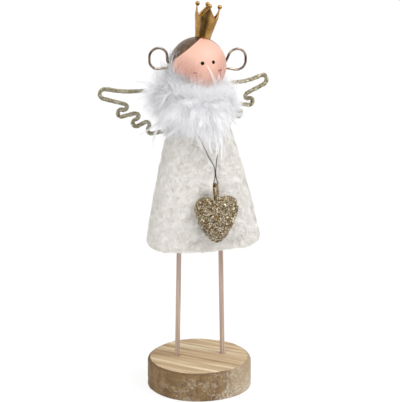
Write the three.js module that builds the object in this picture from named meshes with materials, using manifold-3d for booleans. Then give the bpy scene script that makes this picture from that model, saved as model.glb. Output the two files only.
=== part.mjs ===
// A standing angel ornament: a sawn wooden slice carries two thin dowel legs, a wooden body wrapped in a
// plush dress, a painted ball head with wire hair loops and a crown, wire wings, a down collar, and a heart
// that hangs on a thread. Millimetres, +Z up, front towards -Y. Left and right are the viewer's, from the front.
import * as THREE from 'three';
import { mergeVertices } from 'three/addons/utils/BufferGeometryUtils.js';
import Module from 'manifold-3d';

const wasm = await Module();
wasm.setup();

// Driving dimensions

const SEAT_GAP = 0.3; // glue gap between a piece and its seat or socket

const BASE_DIAMETER = 74;
const BASE_HEIGHT = 21;
const BASE_EDGE_ROUND = 2.4;
const BASE_WAVER = 0.5; // how far the sawn slice strays from a true circle

const LEG_DIAMETER = 3.4;
const LEG_VISIBLE = 86; // from the top of the base to the hem
const LEG_IN_BASE = 12;
const LEG_IN_CORE = 20;
const LEG_SPREAD_AT_BASE = 32.6;
const LEG_SPREAD_AT_HEM = 29.6;
const LEG_LINE_TURN = -11.5; // degrees that the line through both legs turns from the X axis
const LEG_LINE_X = 1.3;
const LEG_LINE_Y = 3.2;
const DOWEL_EASE = 0.4; // eased rim of a cut dowel

const CORE_HEIGHT = 96;
const CORE_BOTTOM_WIDTH = 70.4;
const CORE_BOTTOM_DEPTH = 34;
const CORE_TOP_WIDTH = 23;
const CORE_TOP_DEPTH = 18;
const BODY_SHIFT_AT_HEM = 2.9; // the body leans: its middle line is this far to the right at the hem
const BODY_SHIFT_AT_TOP = -1;
const BODY_SQUARENESS = 2.4; // 2 is a true oval, more is squarer

const PLUSH_THICKNESS = 6.6; // backing and pile together
const PLUSH_OVER_TOP = 5; // plush above the core
const DRESS_BULGE = 1.8; // how far the sides of the dress swell past a straight line
const HEM_DROP = 4; // the hem hangs this far below the core
const HEM_ROUND = 3.6;
const SHOULDER_ROUND = 5.5;

const NECK_DIAMETER = 9;
const NECK_VISIBLE = 4.4; // from the top of the dress to the underside of the head
const NECK_IN_CORE = 13;
const NECK_IN_HEAD = 12;

const HEAD_DIAMETER = 40;
const HEAD_SHIFT = -1.4; // middle of the head from the neck's axis

const HAIR_WIRE = 1.7;
const HAIR_LOOP_WIDTH = 12.6; // upright oval loops, to the middle of the wire
const HAIR_LOOP_HEIGHT = 14.9;
const HAIR_LOOP_REACH = 8; // from the head's surface to the middle of the loop
const HAIR_LOOP_RISE = 4.6; // middle of the loops above the middle of the head
const HAIR_LOOP_STEP = 1.9; // the left loop sits this much higher and the right one lower
const HAIR_LOOP_TURN = -6; // degrees that the pair is turned about the head's axis
const HAIR_END_DEPTH = 5; // wire inside the head
const HAIR_ROOT_BEND = 1.8; // the upper end turns up sharply with this radius as it leaves the head
const HAIR_LEFT_ROOT = -0.1; // middle of the left loop's bend, from the head's surface
const HAIR_LEFT_UPPER = -3.5; // its upper end, from the middle of the loop
const HAIR_LEFT_LOWER = -6.3; // its lower end
const HAIR_RIGHT_ROOT = -1.3; // the same for the right loop
const HAIR_RIGHT_UPPER = -1.6;
const HAIR_RIGHT_LOWER = -4.4;

const CROWN_BOTTOM_DIAMETER = 10.8;
const CROWN_TOP_DIAMETER = 16.6; // at the dips and across the points
const CROWN_HEIGHT = 22.4; // from the top of the head to the middles of the balls
const CROWN_VALLEY = 14.4; // height of the dips between the points
const CROWN_WALL = 0.9;
const CROWN_BALL = 3.2;
const CROWN_POINTS = 4;
const CROWN_POINT_CURVE = 1.45; // above 1 the sides of a point are hollow
const CROWN_TURN = -9.8; // degrees about its own axis
const CROWN_SEAT_RIGHT = 13.2; // degrees from the top of the head to where the crown stands
const CROWN_SEAT_BACK = 6.5;
const CROWN_LEAN_RIGHT = 12.8; // degrees that its own axis leans
const CROWN_LEAN_BACK = 5;
const CROWN_FOOT_SPARE = 1; // length trimmed off by the round of the head

const WING_WIRE = 3.2;
const WING_SWEEP = 18; // degrees that each wing is swept back
const WING_PLANE_Y = 14; // where the two wing planes meet, behind the middle of the body
const WING_ROOT_OUT = 11; // where the wires leave the wing plane for the body
const WING_ROOT_UPPER = -4.2; // heights from the top of the core
const WING_ROOT_LOWER = -20;
const WING_ROOT_BEND = 3;
const WING_IN_CORE = 5;
// The wire is bent round these pegs: distance out, height from the top of the core, radius, and turn, which is
// 1 where the wire runs clockwise round the peg and -1 where it runs the other way.
const WING_PEGS = [
  { out: 20.5, up: 2, radius: 6.6, turn: 1 },
  { out: 45, up: 73, radius: 66, turn: -1 },
  { out: 61.9, up: 5.2, radius: 3.6, turn: 1 },
  { out: 48.5, up: -4.2, radius: 2.1, turn: -1 },
  { out: 50.4, up: -8.8, radius: 2.6, turn: 1 },
  { out: 40.6, up: -11, radius: 2.1, turn: -1 },
  { out: 40, up: -15.9, radius: 2.5, turn: 1 },
  { out: 32.9, up: -17.3, radius: 2.1, turn: -1 },
  { out: 29.4, up: -21.2, radius: 2.6, turn: 1 },
];

const COLLAR_RING_X = 19; // middle of the down ring, to the sides
const COLLAR_RING_FRONT = 17.5;
const COLLAR_RING_BACK = 14;
const COLLAR_THICKNESS = 22; // across the ring
const COLLAR_HEIGHT = 32;
const COLLAR_RISE = -3; // middle of the ring from the top of the dress
const COLLAR_FRONT_DROP = 3;
const COLLAR_LEFT_SWELL = 7; // the down stands out further on the left, and a little higher
const COLLAR_LEFT_RISE = 3;
const COLLAR_LEFT_TURN = 191; // degrees round from +X to the middle of that swell
const COLLAR_GAP = 0.5; // soft down keeps this far from what it lies on

const HEART_WIDTH = 30.6;
const HEART_HEIGHT = 32.4;
const HEART_THICKNESS = 9.4;
const HEART_NOTCH = 3; // depth of the dip between the lobes
const HEART_GAP = 1.4; // between the heart's back and the plush
const HEART_TURN = -9; // degrees that the heart is turned on its thread
const HEART_X = 2.9; // the heart hangs a little to the right
const HEART_BELOW_SHOULDERS = 63.9; // from the top of the dress to the lobes of the heart

const EYE_WIRE = 1.9;
const EYE_DIAMETER = 5; // to the middle of the wire
const EYE_RISE = 9.5; // middle of the eye above the dip of the heart
const EYE_END_SPACING = 2.3; // between the two wire ends in the heart
const EYE_END_DEPTH = 5;
const EYE_TURN = -20; // degrees from standing square to the heart

const THREAD_DIAMETER = 0.7;
const THREAD_STAND_OFF = 0.3; // from the plush
const THREAD_STEM_SPACING = 1.1; // between the two strands where they hang side by side

// How finely round forms are divided
const OVAL_SIDES = 40;
const BALL_SIDES = 28;
const DOWEL_SIDES = 16;
const WIRE_SIDES = 8;
const CROWN_SIDES = 48;

// Heights and half sizes worked out from the driving dimensions

const baseTop = BASE_HEIGHT;
const hemZ = baseTop + LEG_VISIBLE;
const coreBottom = hemZ + HEM_DROP;
const coreTop = coreBottom + CORE_HEIGHT;
const dressTop = coreTop + PLUSH_OVER_TOP;
const headRadius = HEAD_DIAMETER / 2;
const headZ = dressTop + NECK_VISIBLE + headRadius;
const wingSweep = THREE.MathUtils.degToRad(WING_SWEEP);

const vec = (x, y, z) => new THREE.Vector3(x, y, z);
const mix = THREE.MathUtils.lerp;
const radians = THREE.MathUtils.degToRad;

// Solids: three.js geometry into manifold-3d and back

function solid(geometry) {
  const bare = geometry.clone();
  bare.deleteAttribute('normal');
  bare.deleteAttribute('uv');
  const merged = mergeVertices(bare, 1e-3);
  return new wasm.Manifold(
    new wasm.Mesh({
      numProp: 3,
      vertProperties: new Float32Array(merged.attributes.position.array),
      triVerts: new Uint32Array(merged.index.array),
    }),
  );
}

function geometryOf(body) {
  const { vertProperties, triVerts } = body.getMesh();
  const geometry = new THREE.BufferGeometry();
  geometry.setAttribute('position', new THREE.BufferAttribute(vertProperties, 3));
  geometry.setIndex(new THREE.BufferAttribute(triVerts, 1));
  geometry.computeVertexNormals();
  return geometry;
}

function cut(geometry, ...tools) {
  return geometryOf(tools.reduce((body, tool) => body.subtract(solid(tool)), solid(geometry)));
}

function join(geometry, ...others) {
  return geometryOf(others.reduce((body, other) => body.add(solid(other)), solid(geometry)));
}

// Skins a stack of rings of points, each ring anticlockwise seen from above and the stack running upwards on
// the outside. A closed stack comes back to its first ring, and an open one gets flat end caps.
function loft(rings, closed = false) {
  const sides = rings[0].length;
  const points = rings.flat();
  const index = [];
  const last = closed ? rings.length : rings.length - 1;
  for (let i = 0; i < last; i++) {
    const low = i * sides;
    const high = ((i + 1) % rings.length) * sides;
    for (let j = 0; j < sides; j++) {
      const k = (j + 1) % sides;
      index.push(low + j, low + k, high + k, low + j, high + k, high + j);
    }
  }
  if (!closed) {
    for (const [first, facesUp] of [[0, false], [(rings.length - 1) * sides, true]]) {
      const middle = points.length;
      const rim = points.slice(first, first + sides);
      points.push(rim.reduce((sum, p) => sum.add(p), vec(0, 0, 0)).divideScalar(sides));
      for (let j = 0; j < sides; j++) {
        const [a, b] = [first + j, first + ((j + 1) % sides)];
        index.push(middle, ...(facesUp ? [a, b] : [b, a]));
      }
    }
  }
  const geometry = new THREE.BufferGeometry().setFromPoints(points);
  geometry.setIndex(index);
  geometry.computeVertexNormals();
  return geometry;
}

// One point of an oval, by turn from +X. squareness above 2 fills out the corners.
function ovalPoint(turn, halfWidth, halfDepth, squareness) {
  const fill = (value) => Math.sign(value) * Math.pow(Math.abs(value), 2 / squareness);
  return { x: halfWidth * fill(Math.cos(turn)), y: halfDepth * fill(Math.sin(turn)) };
}

function ovalRing(halfWidth, halfDepth, z, middleX = 0, squareness = 2) {
  return Array.from({ length: OVAL_SIDES }, (_, j) => {
    const { x, y } = ovalPoint((j / OVAL_SIDES) * 2 * Math.PI, halfWidth, halfDepth, squareness);
    return vec(middleX + x, y, z);
  });
}

// A round rod between two points, with eased rims. extra swells it and lengthens its far end, for a socket.
function dowel(from, to, diameter, extra = 0) {
  const axis = to.clone().sub(from);
  const length = axis.length() + extra;
  const radius = diameter / 2 + extra;
  const profile = [
    [0, 0],
    [radius - DOWEL_EASE, 0],
    [radius, DOWEL_EASE],
    [radius, length - DOWEL_EASE],
    [radius - DOWEL_EASE, length],
    [0, length],
  ].map(([r, h]) => new THREE.Vector2(r, h));
  const rod = new THREE.LatheGeometry(profile, DOWEL_SIDES);
  rod.applyQuaternion(new THREE.Quaternion().setFromUnitVectors(vec(0, 1, 0), axis.normalize()));
  return rod.translate(from.x, from.y, from.z);
}

function ball(radius, centre, sides = BALL_SIDES) {
  return new THREE.SphereGeometry(radius, sides, Math.round(sides * 0.6))
    .rotateX(Math.PI / 2)
    .translate(centre.x, centre.y, centre.z);
}

// Bent wires: a wire runs straight between pegs and follows an arc round each one

class Arc3 extends THREE.Curve {
  constructor(centre, start, axis, angle) {
    super();
    this.centre = centre;
    this.arm = start.clone().sub(centre);
    this.axis = axis;
    this.angle = angle;
  }

  getPoint(t, target = new THREE.Vector3()) {
    return target.copy(this.arm).applyAxisAngle(this.axis, this.angle * t).add(this.centre);
  }
}

// Lines and arcs of a taut wire from a start point round pegs to an end point, all in one plane. place maps
// (across, up) to space. The tangent between two circles leaves each at a right angle to its radius.
function wireRoundPegs(start, pegs, end, place) {
  const stops = [{ ...start, radius: 0, turn: 1 }, ...pegs, { ...end, radius: 0, turn: 1 }];
  const marks = stops.map(() => ({}));
  for (let i = 0; i + 1 < stops.length; i++) {
    const [a, b] = [stops[i], stops[i + 1]];
    const [dx, dy] = [b.out - a.out, b.up - a.up];
    const apart = Math.hypot(dx, dy);
    const heading = Math.atan2(dy, dx) + Math.asin((b.turn * b.radius - a.turn * a.radius) / apart);
    const touch = (stop) => ({
      out: stop.out - stop.turn * stop.radius * Math.sin(heading),
      up: stop.up + stop.turn * stop.radius * Math.cos(heading),
    });
    marks[i].leave = { ...touch(a), heading };
    marks[i + 1].arrive = { ...touch(b), heading };
  }
  const point = (mark) => place(mark.out, mark.up);
  const planeAxis = place(1, 0).sub(place(0, 0)).cross(place(0, 1).sub(place(0, 0))).normalize();
  const path = new THREE.CurvePath();
  stops.forEach((stop, i) => {
    const { arrive, leave } = marks[i];
    if (arrive && leave) {
      const swing = (leave.heading - arrive.heading) * -stop.turn;
      const angle = THREE.MathUtils.euclideanModulo(swing, 2 * Math.PI) * -stop.turn;
      path.add(new Arc3(place(stop.out, stop.up), point(arrive), planeAxis, angle));
    }
    if (leave) path.add(new THREE.LineCurve3(point(leave), point(marks[i + 1].arrive)));
  });
  return path;
}

// A round wire along a path.
function wire(path, diameter, steps, sides = WIRE_SIDES) {
  const section = new THREE.Shape(
    Array.from({ length: sides }, (_, i) => {
      const turn = (i / sides) * 2 * Math.PI;
      return new THREE.Vector2(Math.cos(turn), Math.sin(turn)).multiplyScalar(diameter / 2);
    }),
  );
  return new THREE.ExtrudeGeometry(section, { steps, extrudePath: path, bevelEnabled: false });
}

// Materials

const finish = (color, roughness, metalness = 0) => new THREE.MeshStandardMaterial({ color, roughness, metalness });
const sawnWood = finish(0xb79a6e, 0.8);
const plainWood = finish(0xcdb48c, 0.8);
const legPaint = finish(0xd0ab9b, 0.6);
const skinPaint = finish(0xf0c0a4, 0.45);
const whitePlush = finish(0xeeece7, 0.95);
const whiteDown = finish(0xf6f6f8, 0.95);
const antiqueGold = finish(0x8e6f3c, 0.4, 0.9);
const brownWire = finish(0x8a7465, 0.3, 0.9);
const goldGlitter = finish(0x9a8a5c, 0.45, 0.6);
const greyThread = finish(0x55565a, 0.7);

const figure = new THREE.Group();
const add = (name, geometry, material) => {
  const mesh = new THREE.Mesh(geometry, material);
  mesh.name = name;
  figure.add(mesh);
};

// Legs, and their sockets in base and core

function legPoint(side, spread, z) {
  const turn = radians(LEG_LINE_TURN);
  const along = (side * spread) / 2;
  return vec(LEG_LINE_X + along * Math.cos(turn), LEG_LINE_Y + along * Math.sin(turn), z);
}

function legEnds(side) {
  const atBase = legPoint(side, LEG_SPREAD_AT_BASE, baseTop);
  const atHem = legPoint(side, LEG_SPREAD_AT_HEM, hemZ);
  const at = (z) => atBase.clone().lerp(atHem, (z - baseTop) / LEG_VISIBLE);
  return [at(baseTop - LEG_IN_BASE), at(coreBottom + LEG_IN_CORE)];
}

const legSockets = [-1, 1].map((side) => {
  const [low, high] = legEnds(side);
  return { base: dowel(high, low, LEG_DIAMETER, SEAT_GAP), core: dowel(low, high, LEG_DIAMETER, SEAT_GAP) };
});
[['left_leg', -1], ['right_leg', 1]].forEach(([name, side]) => {
  add(name, dowel(...legEnds(side), LEG_DIAMETER), legPaint);
});

// Base: a slice sawn from a branch, a little out of round, with a worn upper edge

function baseRing(inset, z) {
  return Array.from({ length: OVAL_SIDES }, (_, j) => {
    const turn = (j / OVAL_SIDES) * 2 * Math.PI;
    const stray = BASE_WAVER * (0.6 * Math.sin(2 * turn + 0.7) + 0.4 * Math.sin(5 * turn));
    const radius = BASE_DIAMETER / 2 + stray - inset;
    return vec(radius * Math.cos(turn), radius * Math.sin(turn), z);
  });
}

const edgeArc = [0, 30, 60, 90].map((degrees) => {
  const turn = radians(degrees);
  return baseRing(BASE_EDGE_ROUND * (1 - Math.cos(turn)), baseTop - BASE_EDGE_ROUND * (1 - Math.sin(turn)));
});
add(
  'base_disc',
  cut(
    loft([baseRing(DOWEL_EASE, 0), baseRing(0, DOWEL_EASE), ...edgeArc]),
    ...legSockets.map((socket) => socket.base),
  ),
  sawnWood,
);

// Body core: a wooden cone with an oval section. coreHalf carries its straight sides past both ends.

function coreHalf(z) {
  const t = (z - coreBottom) / CORE_HEIGHT;
  return {
    width: mix(CORE_BOTTOM_WIDTH, CORE_TOP_WIDTH, t) / 2,
    depth: mix(CORE_BOTTOM_DEPTH, CORE_TOP_DEPTH, t) / 2,
  };
}

const bodyMiddle = (z) => mix(BODY_SHIFT_AT_HEM, BODY_SHIFT_AT_TOP, (z - hemZ) / (dressTop - hemZ));

function coreRing(swell, z) {
  const { width, depth } = coreHalf(z);
  return ovalRing(width + swell, depth + swell, z, bodyMiddle(z), BODY_SQUARENESS);
}

// Wings: one wire each, bent in the wing plane, with both ends turned forward into the back of the core

function wingPath(side) {
  const place = (out, up) =>
    vec(side * out * Math.cos(wingSweep), WING_PLANE_Y + out * Math.sin(wingSweep), coreTop + up);
  const upper = { out: WING_ROOT_OUT, up: WING_ROOT_UPPER };
  const lower = { out: WING_ROOT_OUT, up: WING_ROOT_LOWER };
  const flat = wireRoundPegs(upper, WING_PEGS, lower, place);
  const rootEnd = (t) => {
    const start = flat.getPoint(t);
    const heading = flat.getTangent(t).multiplyScalar(t === 0 ? -1 : 1);
    const inward = vec(0, -1, 0);
    const axis = heading.clone().cross(inward).normalize();
    const angle = heading.angleTo(inward);
    const centre = start.clone().add(axis.clone().cross(heading).multiplyScalar(WING_ROOT_BEND));
    const bend = new Arc3(centre, start, axis, angle);
    const turned = bend.getPoint(1);
    const { depth } = coreHalf(turned.z);
    const tip = vec(turned.x, depth / 2 - WING_IN_CORE / 2, turned.z);
    return { bend, line: new THREE.LineCurve3(turned, tip) };
  };
  const [first, last] = [rootEnd(0), rootEnd(1)];
  const reversed = (curve) => {
    const back = new THREE.Curve();
    back.getPoint = (t, target) => curve.getPoint(1 - t, target);
    return back;
  };
  const whole = new THREE.CurvePath();
  whole.add(reversed(first.line));
  whole.add(reversed(first.bend));
  flat.curves.forEach((curve) => whole.add(curve));
  whole.add(last.bend);
  whole.add(last.line);
  return whole;
}

const WING_STEPS = 96;
const wingChannels = [-1, 1].map((side) => wire(wingPath(side), WING_WIRE + 2 * SEAT_GAP, WING_STEPS));
add('left_wing', wire(wingPath(-1), WING_WIRE, WING_STEPS), goldGlitter);
add('right_wing', wire(wingPath(1), WING_WIRE, WING_STEPS), goldGlitter);

const neckLow = vec(0, 0, coreTop - NECK_IN_CORE);
const neckHigh = vec(0, 0, headZ - headRadius + NECK_IN_HEAD);
add('neck_dowel', dowel(neckLow, neckHigh, NECK_DIAMETER), plainWood);

add(
  'body_core',
  cut(
    loft([coreRing(-DOWEL_EASE, coreBottom), coreRing(0, coreBottom + DOWEL_EASE), coreRing(0, coreTop)]),
    dowel(neckHigh, neckLow, NECK_DIAMETER, SEAT_GAP),
    ...legSockets.map((socket) => socket.core),
    ...wingChannels,
  ),
  plainWood,
);

// Plush dress: a thick sleeve round the core, rounded at hem and shoulders and drawn in to the neck

function dressHalf(z) {
  const { width, depth } = coreHalf(z);
  const t = THREE.MathUtils.clamp((z - hemZ) / (dressTop - hemZ), 0, 1);
  return {
    width: width + PLUSH_THICKNESS + DRESS_BULGE * Math.sin(Math.PI * t),
    depth: depth + PLUSH_THICKNESS,
  };
}

function dressOutside(swell) {
  const hemMiddle = hemZ + HEM_ROUND;
  const shoulderMiddle = dressTop - SHOULDER_ROUND;
  const ringAt = (z, inset, height) => {
    const { width, depth } = dressHalf(z);
    return ovalRing(width - inset + swell, depth - inset + swell, height, bodyMiddle(z), BODY_SQUARENESS);
  };
  const hem = [0, 45, 90].map((degrees) => {
    const turn = radians(degrees);
    const drop = (HEM_ROUND + swell) * Math.cos(turn);
    return ringAt(hemMiddle, HEM_ROUND * (1 - Math.sin(turn)), hemMiddle - drop);
  });
  const SIDE_RINGS = 6;
  const sides = Array.from({ length: SIDE_RINGS - 1 }, (_, i) => {
    const z = mix(hemMiddle, shoulderMiddle, (i + 1) / SIDE_RINGS);
    return ringAt(z, 0, z);
  });
  const shoulder = [0, 30, 60, 90].map((degrees) => {
    const turn = radians(degrees);
    const inset = SHOULDER_ROUND * (1 - Math.cos(turn));
    return ringAt(shoulderMiddle, inset, shoulderMiddle + (SHOULDER_ROUND + swell) * Math.sin(turn));
  });
  return [...hem, ...sides, ...shoulder];
}

const neckHole = (z) => ovalRing(NECK_DIAMETER / 2 + SEAT_GAP, NECK_DIAMETER / 2 + SEAT_GAP, z);
const coreRoof = coreTop + SEAT_GAP;
add(
  'plush_dress',
  cut(
    loft(
      [
        ...dressOutside(0),
        neckHole(dressTop),
        neckHole(coreRoof),
        coreRing(SEAT_GAP, coreRoof),
        coreRing(SEAT_GAP, hemZ + HEM_ROUND),
      ],
      true,
    ),
    ...wingChannels,
  ),
  whitePlush,
);

// Hair loops: wire bent in an upright oval on each side of the head, with both ends in the wood

function hairLoopPath(side) {
  const turn = radians(HAIR_LOOP_TURN);
  const loopZ = headZ + HAIR_LOOP_RISE - side * HAIR_LOOP_STEP;
  const place = (out, up) => vec(HEAD_SHIFT + side * out * Math.cos(turn), side * out * Math.sin(turn), loopZ + up);
  const [rootOut, upperEnd, lowerEnd] =
    side < 0
      ? [HAIR_LEFT_ROOT, HAIR_LEFT_UPPER, HAIR_LEFT_LOWER]
      : [HAIR_RIGHT_ROOT, HAIR_RIGHT_UPPER, HAIR_RIGHT_LOWER];
  const inHead = headRadius - HAIR_END_DEPTH;
  const middle = headRadius + HAIR_LOOP_REACH;
  const root = { out: headRadius + rootOut, up: upperEnd + HAIR_ROOT_BEND, radius: HAIR_ROOT_BEND, turn: -1 };
  const rise = (HAIR_LOOP_HEIGHT - HAIR_LOOP_WIDTH) / 2;
  const oval = [rise, -rise].map((up) => ({ out: middle, up, radius: HAIR_LOOP_WIDTH / 2, turn: 1 }));
  return wireRoundPegs({ out: inHead, up: upperEnd }, [root, ...oval], { out: inHead, up: lowerEnd }, place);
}

const HAIR_STEPS = 30;
const hairSockets = [-1, 1].map((side) => wire(hairLoopPath(side), HAIR_WIRE + 2 * SEAT_GAP, HAIR_STEPS));
add('left_hair_loop', wire(hairLoopPath(-1), HAIR_WIRE, HAIR_STEPS), brownWire);
add('right_hair_loop', wire(hairLoopPath(1), HAIR_WIRE, HAIR_STEPS), brownWire);

const headCentre = vec(HEAD_SHIFT, 0, headZ);
add(
  'head_ball',
  cut(ball(headRadius, headCentre), dowel(neckLow, neckHigh, NECK_DIAMETER, SEAT_GAP), ...hairSockets),
  skinPaint,
);

// Crown: a flared band with upright hollow-sided points, each with a ball on it, standing askew on the ball head

function crownShell() {
  const flare = (CROWN_TOP_DIAMETER - CROWN_BOTTOM_DIAMETER) / 2 / CROWN_VALLEY;
  const share = Math.PI / CROWN_POINTS;
  const rimHeight = (turn) => {
    const off = Math.abs(THREE.MathUtils.euclideanModulo(turn + share, 2 * share) - share) / share;
    return mix(CROWN_VALLEY, CROWN_HEIGHT, Math.pow(1 - off, CROWN_POINT_CURVE));
  };
  const sag = headRadius - Math.sqrt(headRadius ** 2 - (CROWN_BOTTOM_DIAMETER / 2) ** 2);
  const foot = -sag - CROWN_FOOT_SPARE;
  const ring = (inset, level) =>
    Array.from({ length: CROWN_SIDES }, (_, j) => {
      const turn = (j / CROWN_SIDES) * 2 * Math.PI;
      const height = mix(foot, rimHeight(turn), level);
      const radius = CROWN_BOTTOM_DIAMETER / 2 + flare * Math.min(height, CROWN_VALLEY) - inset;
      return vec(radius * Math.cos(turn), radius * Math.sin(turn), height);
    });
  const levels = [0, 0.35, 0.7, 1];
  const outside = levels.map((level) => ring(0, level));
  const inside = levels.toReversed().map((level) => ring(CROWN_WALL, level));
  const balls = Array.from({ length: CROWN_POINTS }, (_, i) => {
    const turn = i * 2 * share;
    const radius = (CROWN_TOP_DIAMETER - CROWN_WALL) / 2;
    const centre = vec(radius * Math.cos(turn), radius * Math.sin(turn), CROWN_HEIGHT);
    return ball(CROWN_BALL / 2, centre, 10);
  });
  return join(loft([...outside, ...inside], true), ...balls);
}

const leanRotation = (right, back) =>
  new THREE.Matrix4()
    .makeRotationY(radians(right))
    .multiply(new THREE.Matrix4().makeRotationX(radians(-back)));
const crownSeat = vec(0, 0, headRadius)
  .applyMatrix4(leanRotation(CROWN_SEAT_RIGHT, CROWN_SEAT_BACK))
  .add(headCentre);
const crownPose = new THREE.Matrix4()
  .makeTranslation(crownSeat)
  .multiply(leanRotation(CROWN_LEAN_RIGHT, CROWN_LEAN_BACK))
  .multiply(new THREE.Matrix4().makeRotationZ(radians(CROWN_TURN - 90)));
add(
  'crown',
  cut(crownShell().applyMatrix4(crownPose), ball(headRadius + SEAT_GAP, headCentre)),
  antiqueGold,
);

// Heart: a puffed heart whose outline is drawn towards its middle in shrinking copies, with a wire eye on top

const heartTop = dressTop - HEART_BELOW_SHOULDERS;
const dressSlope = Math.atan((coreHalf(coreBottom).depth - coreHalf(coreTop).depth) / CORE_HEIGHT);
const dressFront = (z) => -dressHalf(z).depth;

// Right half of the outline from the lowest tip up to the dip, across in half widths and up in heights.
const HEART_HALF = [
  [0, -1],
  [0.36, -0.905],
  [0.6, -0.75],
  [0.83, -0.53],
  [1, -0.25],
  [0.87, -0.07],
  [0.54, 0],
  [0.2, -0.035],
];
const heartPoint = ([across, up]) => vec((across * HEART_WIDTH) / 2, 0, up * HEART_HEIGHT);
const heartRight = HEART_HALF.map(heartPoint);
const heartLeft = HEART_HALF.slice(1).toReversed().map(([across, up]) => heartPoint([-across, up]));
const heartCurve = new THREE.CatmullRomCurve3([...heartRight, vec(0, 0, -HEART_NOTCH), ...heartLeft], true);

const heartPose = new THREE.Matrix4()
  .makeTranslation(HEART_X, dressFront(heartTop) - (HEART_GAP + HEART_THICKNESS / 2) / Math.cos(dressSlope), heartTop)
  .multiply(new THREE.Matrix4().makeRotationX(-dressSlope))
  .multiply(new THREE.Matrix4().makeRotationZ(radians(HEART_TURN)));

function heartShell() {
  const HEART_SIDES = 36;
  const middle = -HEART_HEIGHT * 0.42;
  const outline = heartCurve.getSpacedPoints(HEART_SIDES).slice(0, HEART_SIDES);
  const ring = (lean) => {
    const shrink = Math.pow(Math.cos(lean), 0.62);
    return outline.map(({ x, z }) =>
      vec(x * shrink, (-HEART_THICKNESS / 2) * Math.sin(lean), middle + (z - middle) * shrink),
    );
  };
  return loft([-80, -55, -30, 0, 30, 55, 80].map((degrees) => ring(radians(degrees))));
}

function eyePath() {
  const turn = radians(EYE_TURN);
  const place = (out, up) => vec(out * Math.sin(turn), out * Math.cos(turn), up - HEART_NOTCH + EYE_RISE);
  const peg = { out: 0, up: 0, radius: EYE_DIAMETER / 2, turn: 1 };
  const depth = -EYE_RISE - EYE_END_DEPTH;
  const end = EYE_END_SPACING / 2;
  return wireRoundPegs({ out: -end, up: depth }, [peg], { out: end, up: depth }, place);
}

const EYE_STEPS = 24;
const eyeSocket = wire(eyePath(), EYE_WIRE + 2 * SEAT_GAP, EYE_STEPS);
add('heart', cut(heartShell(), eyeSocket).applyMatrix4(heartPose), goldGlitter);
add('heart_eye', wire(eyePath(), EYE_WIRE, EYE_STEPS).applyMatrix4(heartPose), goldGlitter);

// Thread: round the neck under the collar, over the shoulders and down the front, through the eye of the heart.
// The points are chosen by hand and lie just clear of the plush: on the front by x and z, and over the shoulders
// by angles.

const eyeTop = vec(0, 0, EYE_RISE - HEART_NOTCH + EYE_DIAMETER / 2).applyMatrix4(heartPose);
const threadClear = THREAD_STAND_OFF + THREAD_DIAMETER / 2;

function onDress(x, z) {
  const { width, depth } = dressHalf(z);
  const across = Math.abs(x - bodyMiddle(z)) / (width + threadClear);
  const inward = Math.pow(1 - Math.pow(across, BODY_SQUARENESS), 1 / BODY_SQUARENESS);
  return vec(x, -(depth + threadClear) * inward, z);
}

// A point over the rounded shoulder, by degrees round the neck from +X and degrees up the rounding.
function onShoulder(around, lean) {
  const [turn, rise] = [radians(around), radians(lean)];
  const middle = dressTop - SHOULDER_ROUND;
  const { width, depth } = dressHalf(middle);
  const inset = SHOULDER_ROUND * (1 - Math.cos(rise)) - threadClear;
  const z = middle + (SHOULDER_ROUND + threadClear) * Math.sin(rise);
  const { x, y } = ovalPoint(turn, width - inset, depth - inset, BODY_SQUARENESS);
  return vec(bodyMiddle(middle) + x, y, z);
}

const THREAD_EXIT_Z = 186;
const FORK_X = 4.8; // where the two strands part
const FORK_Z = 166.4;
const threadExit = { left: onDress(-4.6, THREAD_EXIT_Z), right: onDress(8.4, THREAD_EXIT_Z) };
const stem = THREAD_STEM_SPACING / 2;
const bow = EYE_WIRE / 2 + threadClear;

const neckLoopPoints = [
  onDress(-5.1, THREAD_EXIT_Z + SEAT_GAP + 0.9),
  onDress(-9.4, 195),
  onDress(-12.6, 202),
  onShoulder(222, 15),
  onShoulder(207, 55),
  onShoulder(186, 90),
  onShoulder(155, 90),
  onShoulder(122, 90),
  onShoulder(90, 90),
  onShoulder(58, 90),
  onShoulder(25, 90),
  onShoulder(-6, 90),
  onShoulder(-27, 55),
  onShoulder(-38, 15),
  onDress(14.2, 202),
  onDress(11.6, 195),
  onDress(8.8, THREAD_EXIT_Z + SEAT_GAP + 0.9),
];

const stemMiddle = onDress(FORK_X, FORK_Z).lerp(eyeTop, 0.45);
const strandPoints = [
  threadExit.left,
  onDress(0, 175.6),
  onDress(FORK_X - stem - 0.4, FORK_Z + 1),
  stemMiddle.clone().add(vec(-stem, 0, 0)),
  vec(HEART_X - bow * 0.8, eyeTop.y, eyeTop.z + bow * 0.9),
  vec(HEART_X - bow, eyeTop.y, eyeTop.z),
  vec(HEART_X, eyeTop.y, eyeTop.z - bow),
  vec(HEART_X + bow, eyeTop.y, eyeTop.z),
  vec(HEART_X + bow * 0.8, eyeTop.y, eyeTop.z + bow * 0.9),
  stemMiddle.clone().add(vec(stem, 0, 0)),
  onDress(FORK_X + stem + 0.3, FORK_Z + 1),
  onDress(6.6, 175.6),
  threadExit.right,
];

const neckLoopPath = new THREE.CatmullRomCurve3(neckLoopPoints);
add('necklace_neck_loop', wire(neckLoopPath, THREAD_DIAMETER, 36), greyThread);
add('necklace_strands', wire(new THREE.CatmullRomCurve3(strandPoints), THREAD_DIAMETER, 44), greyThread);

// Down collar: a plump ring round the neck, lower in front, that lies on the shoulders and under the chin

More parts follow.
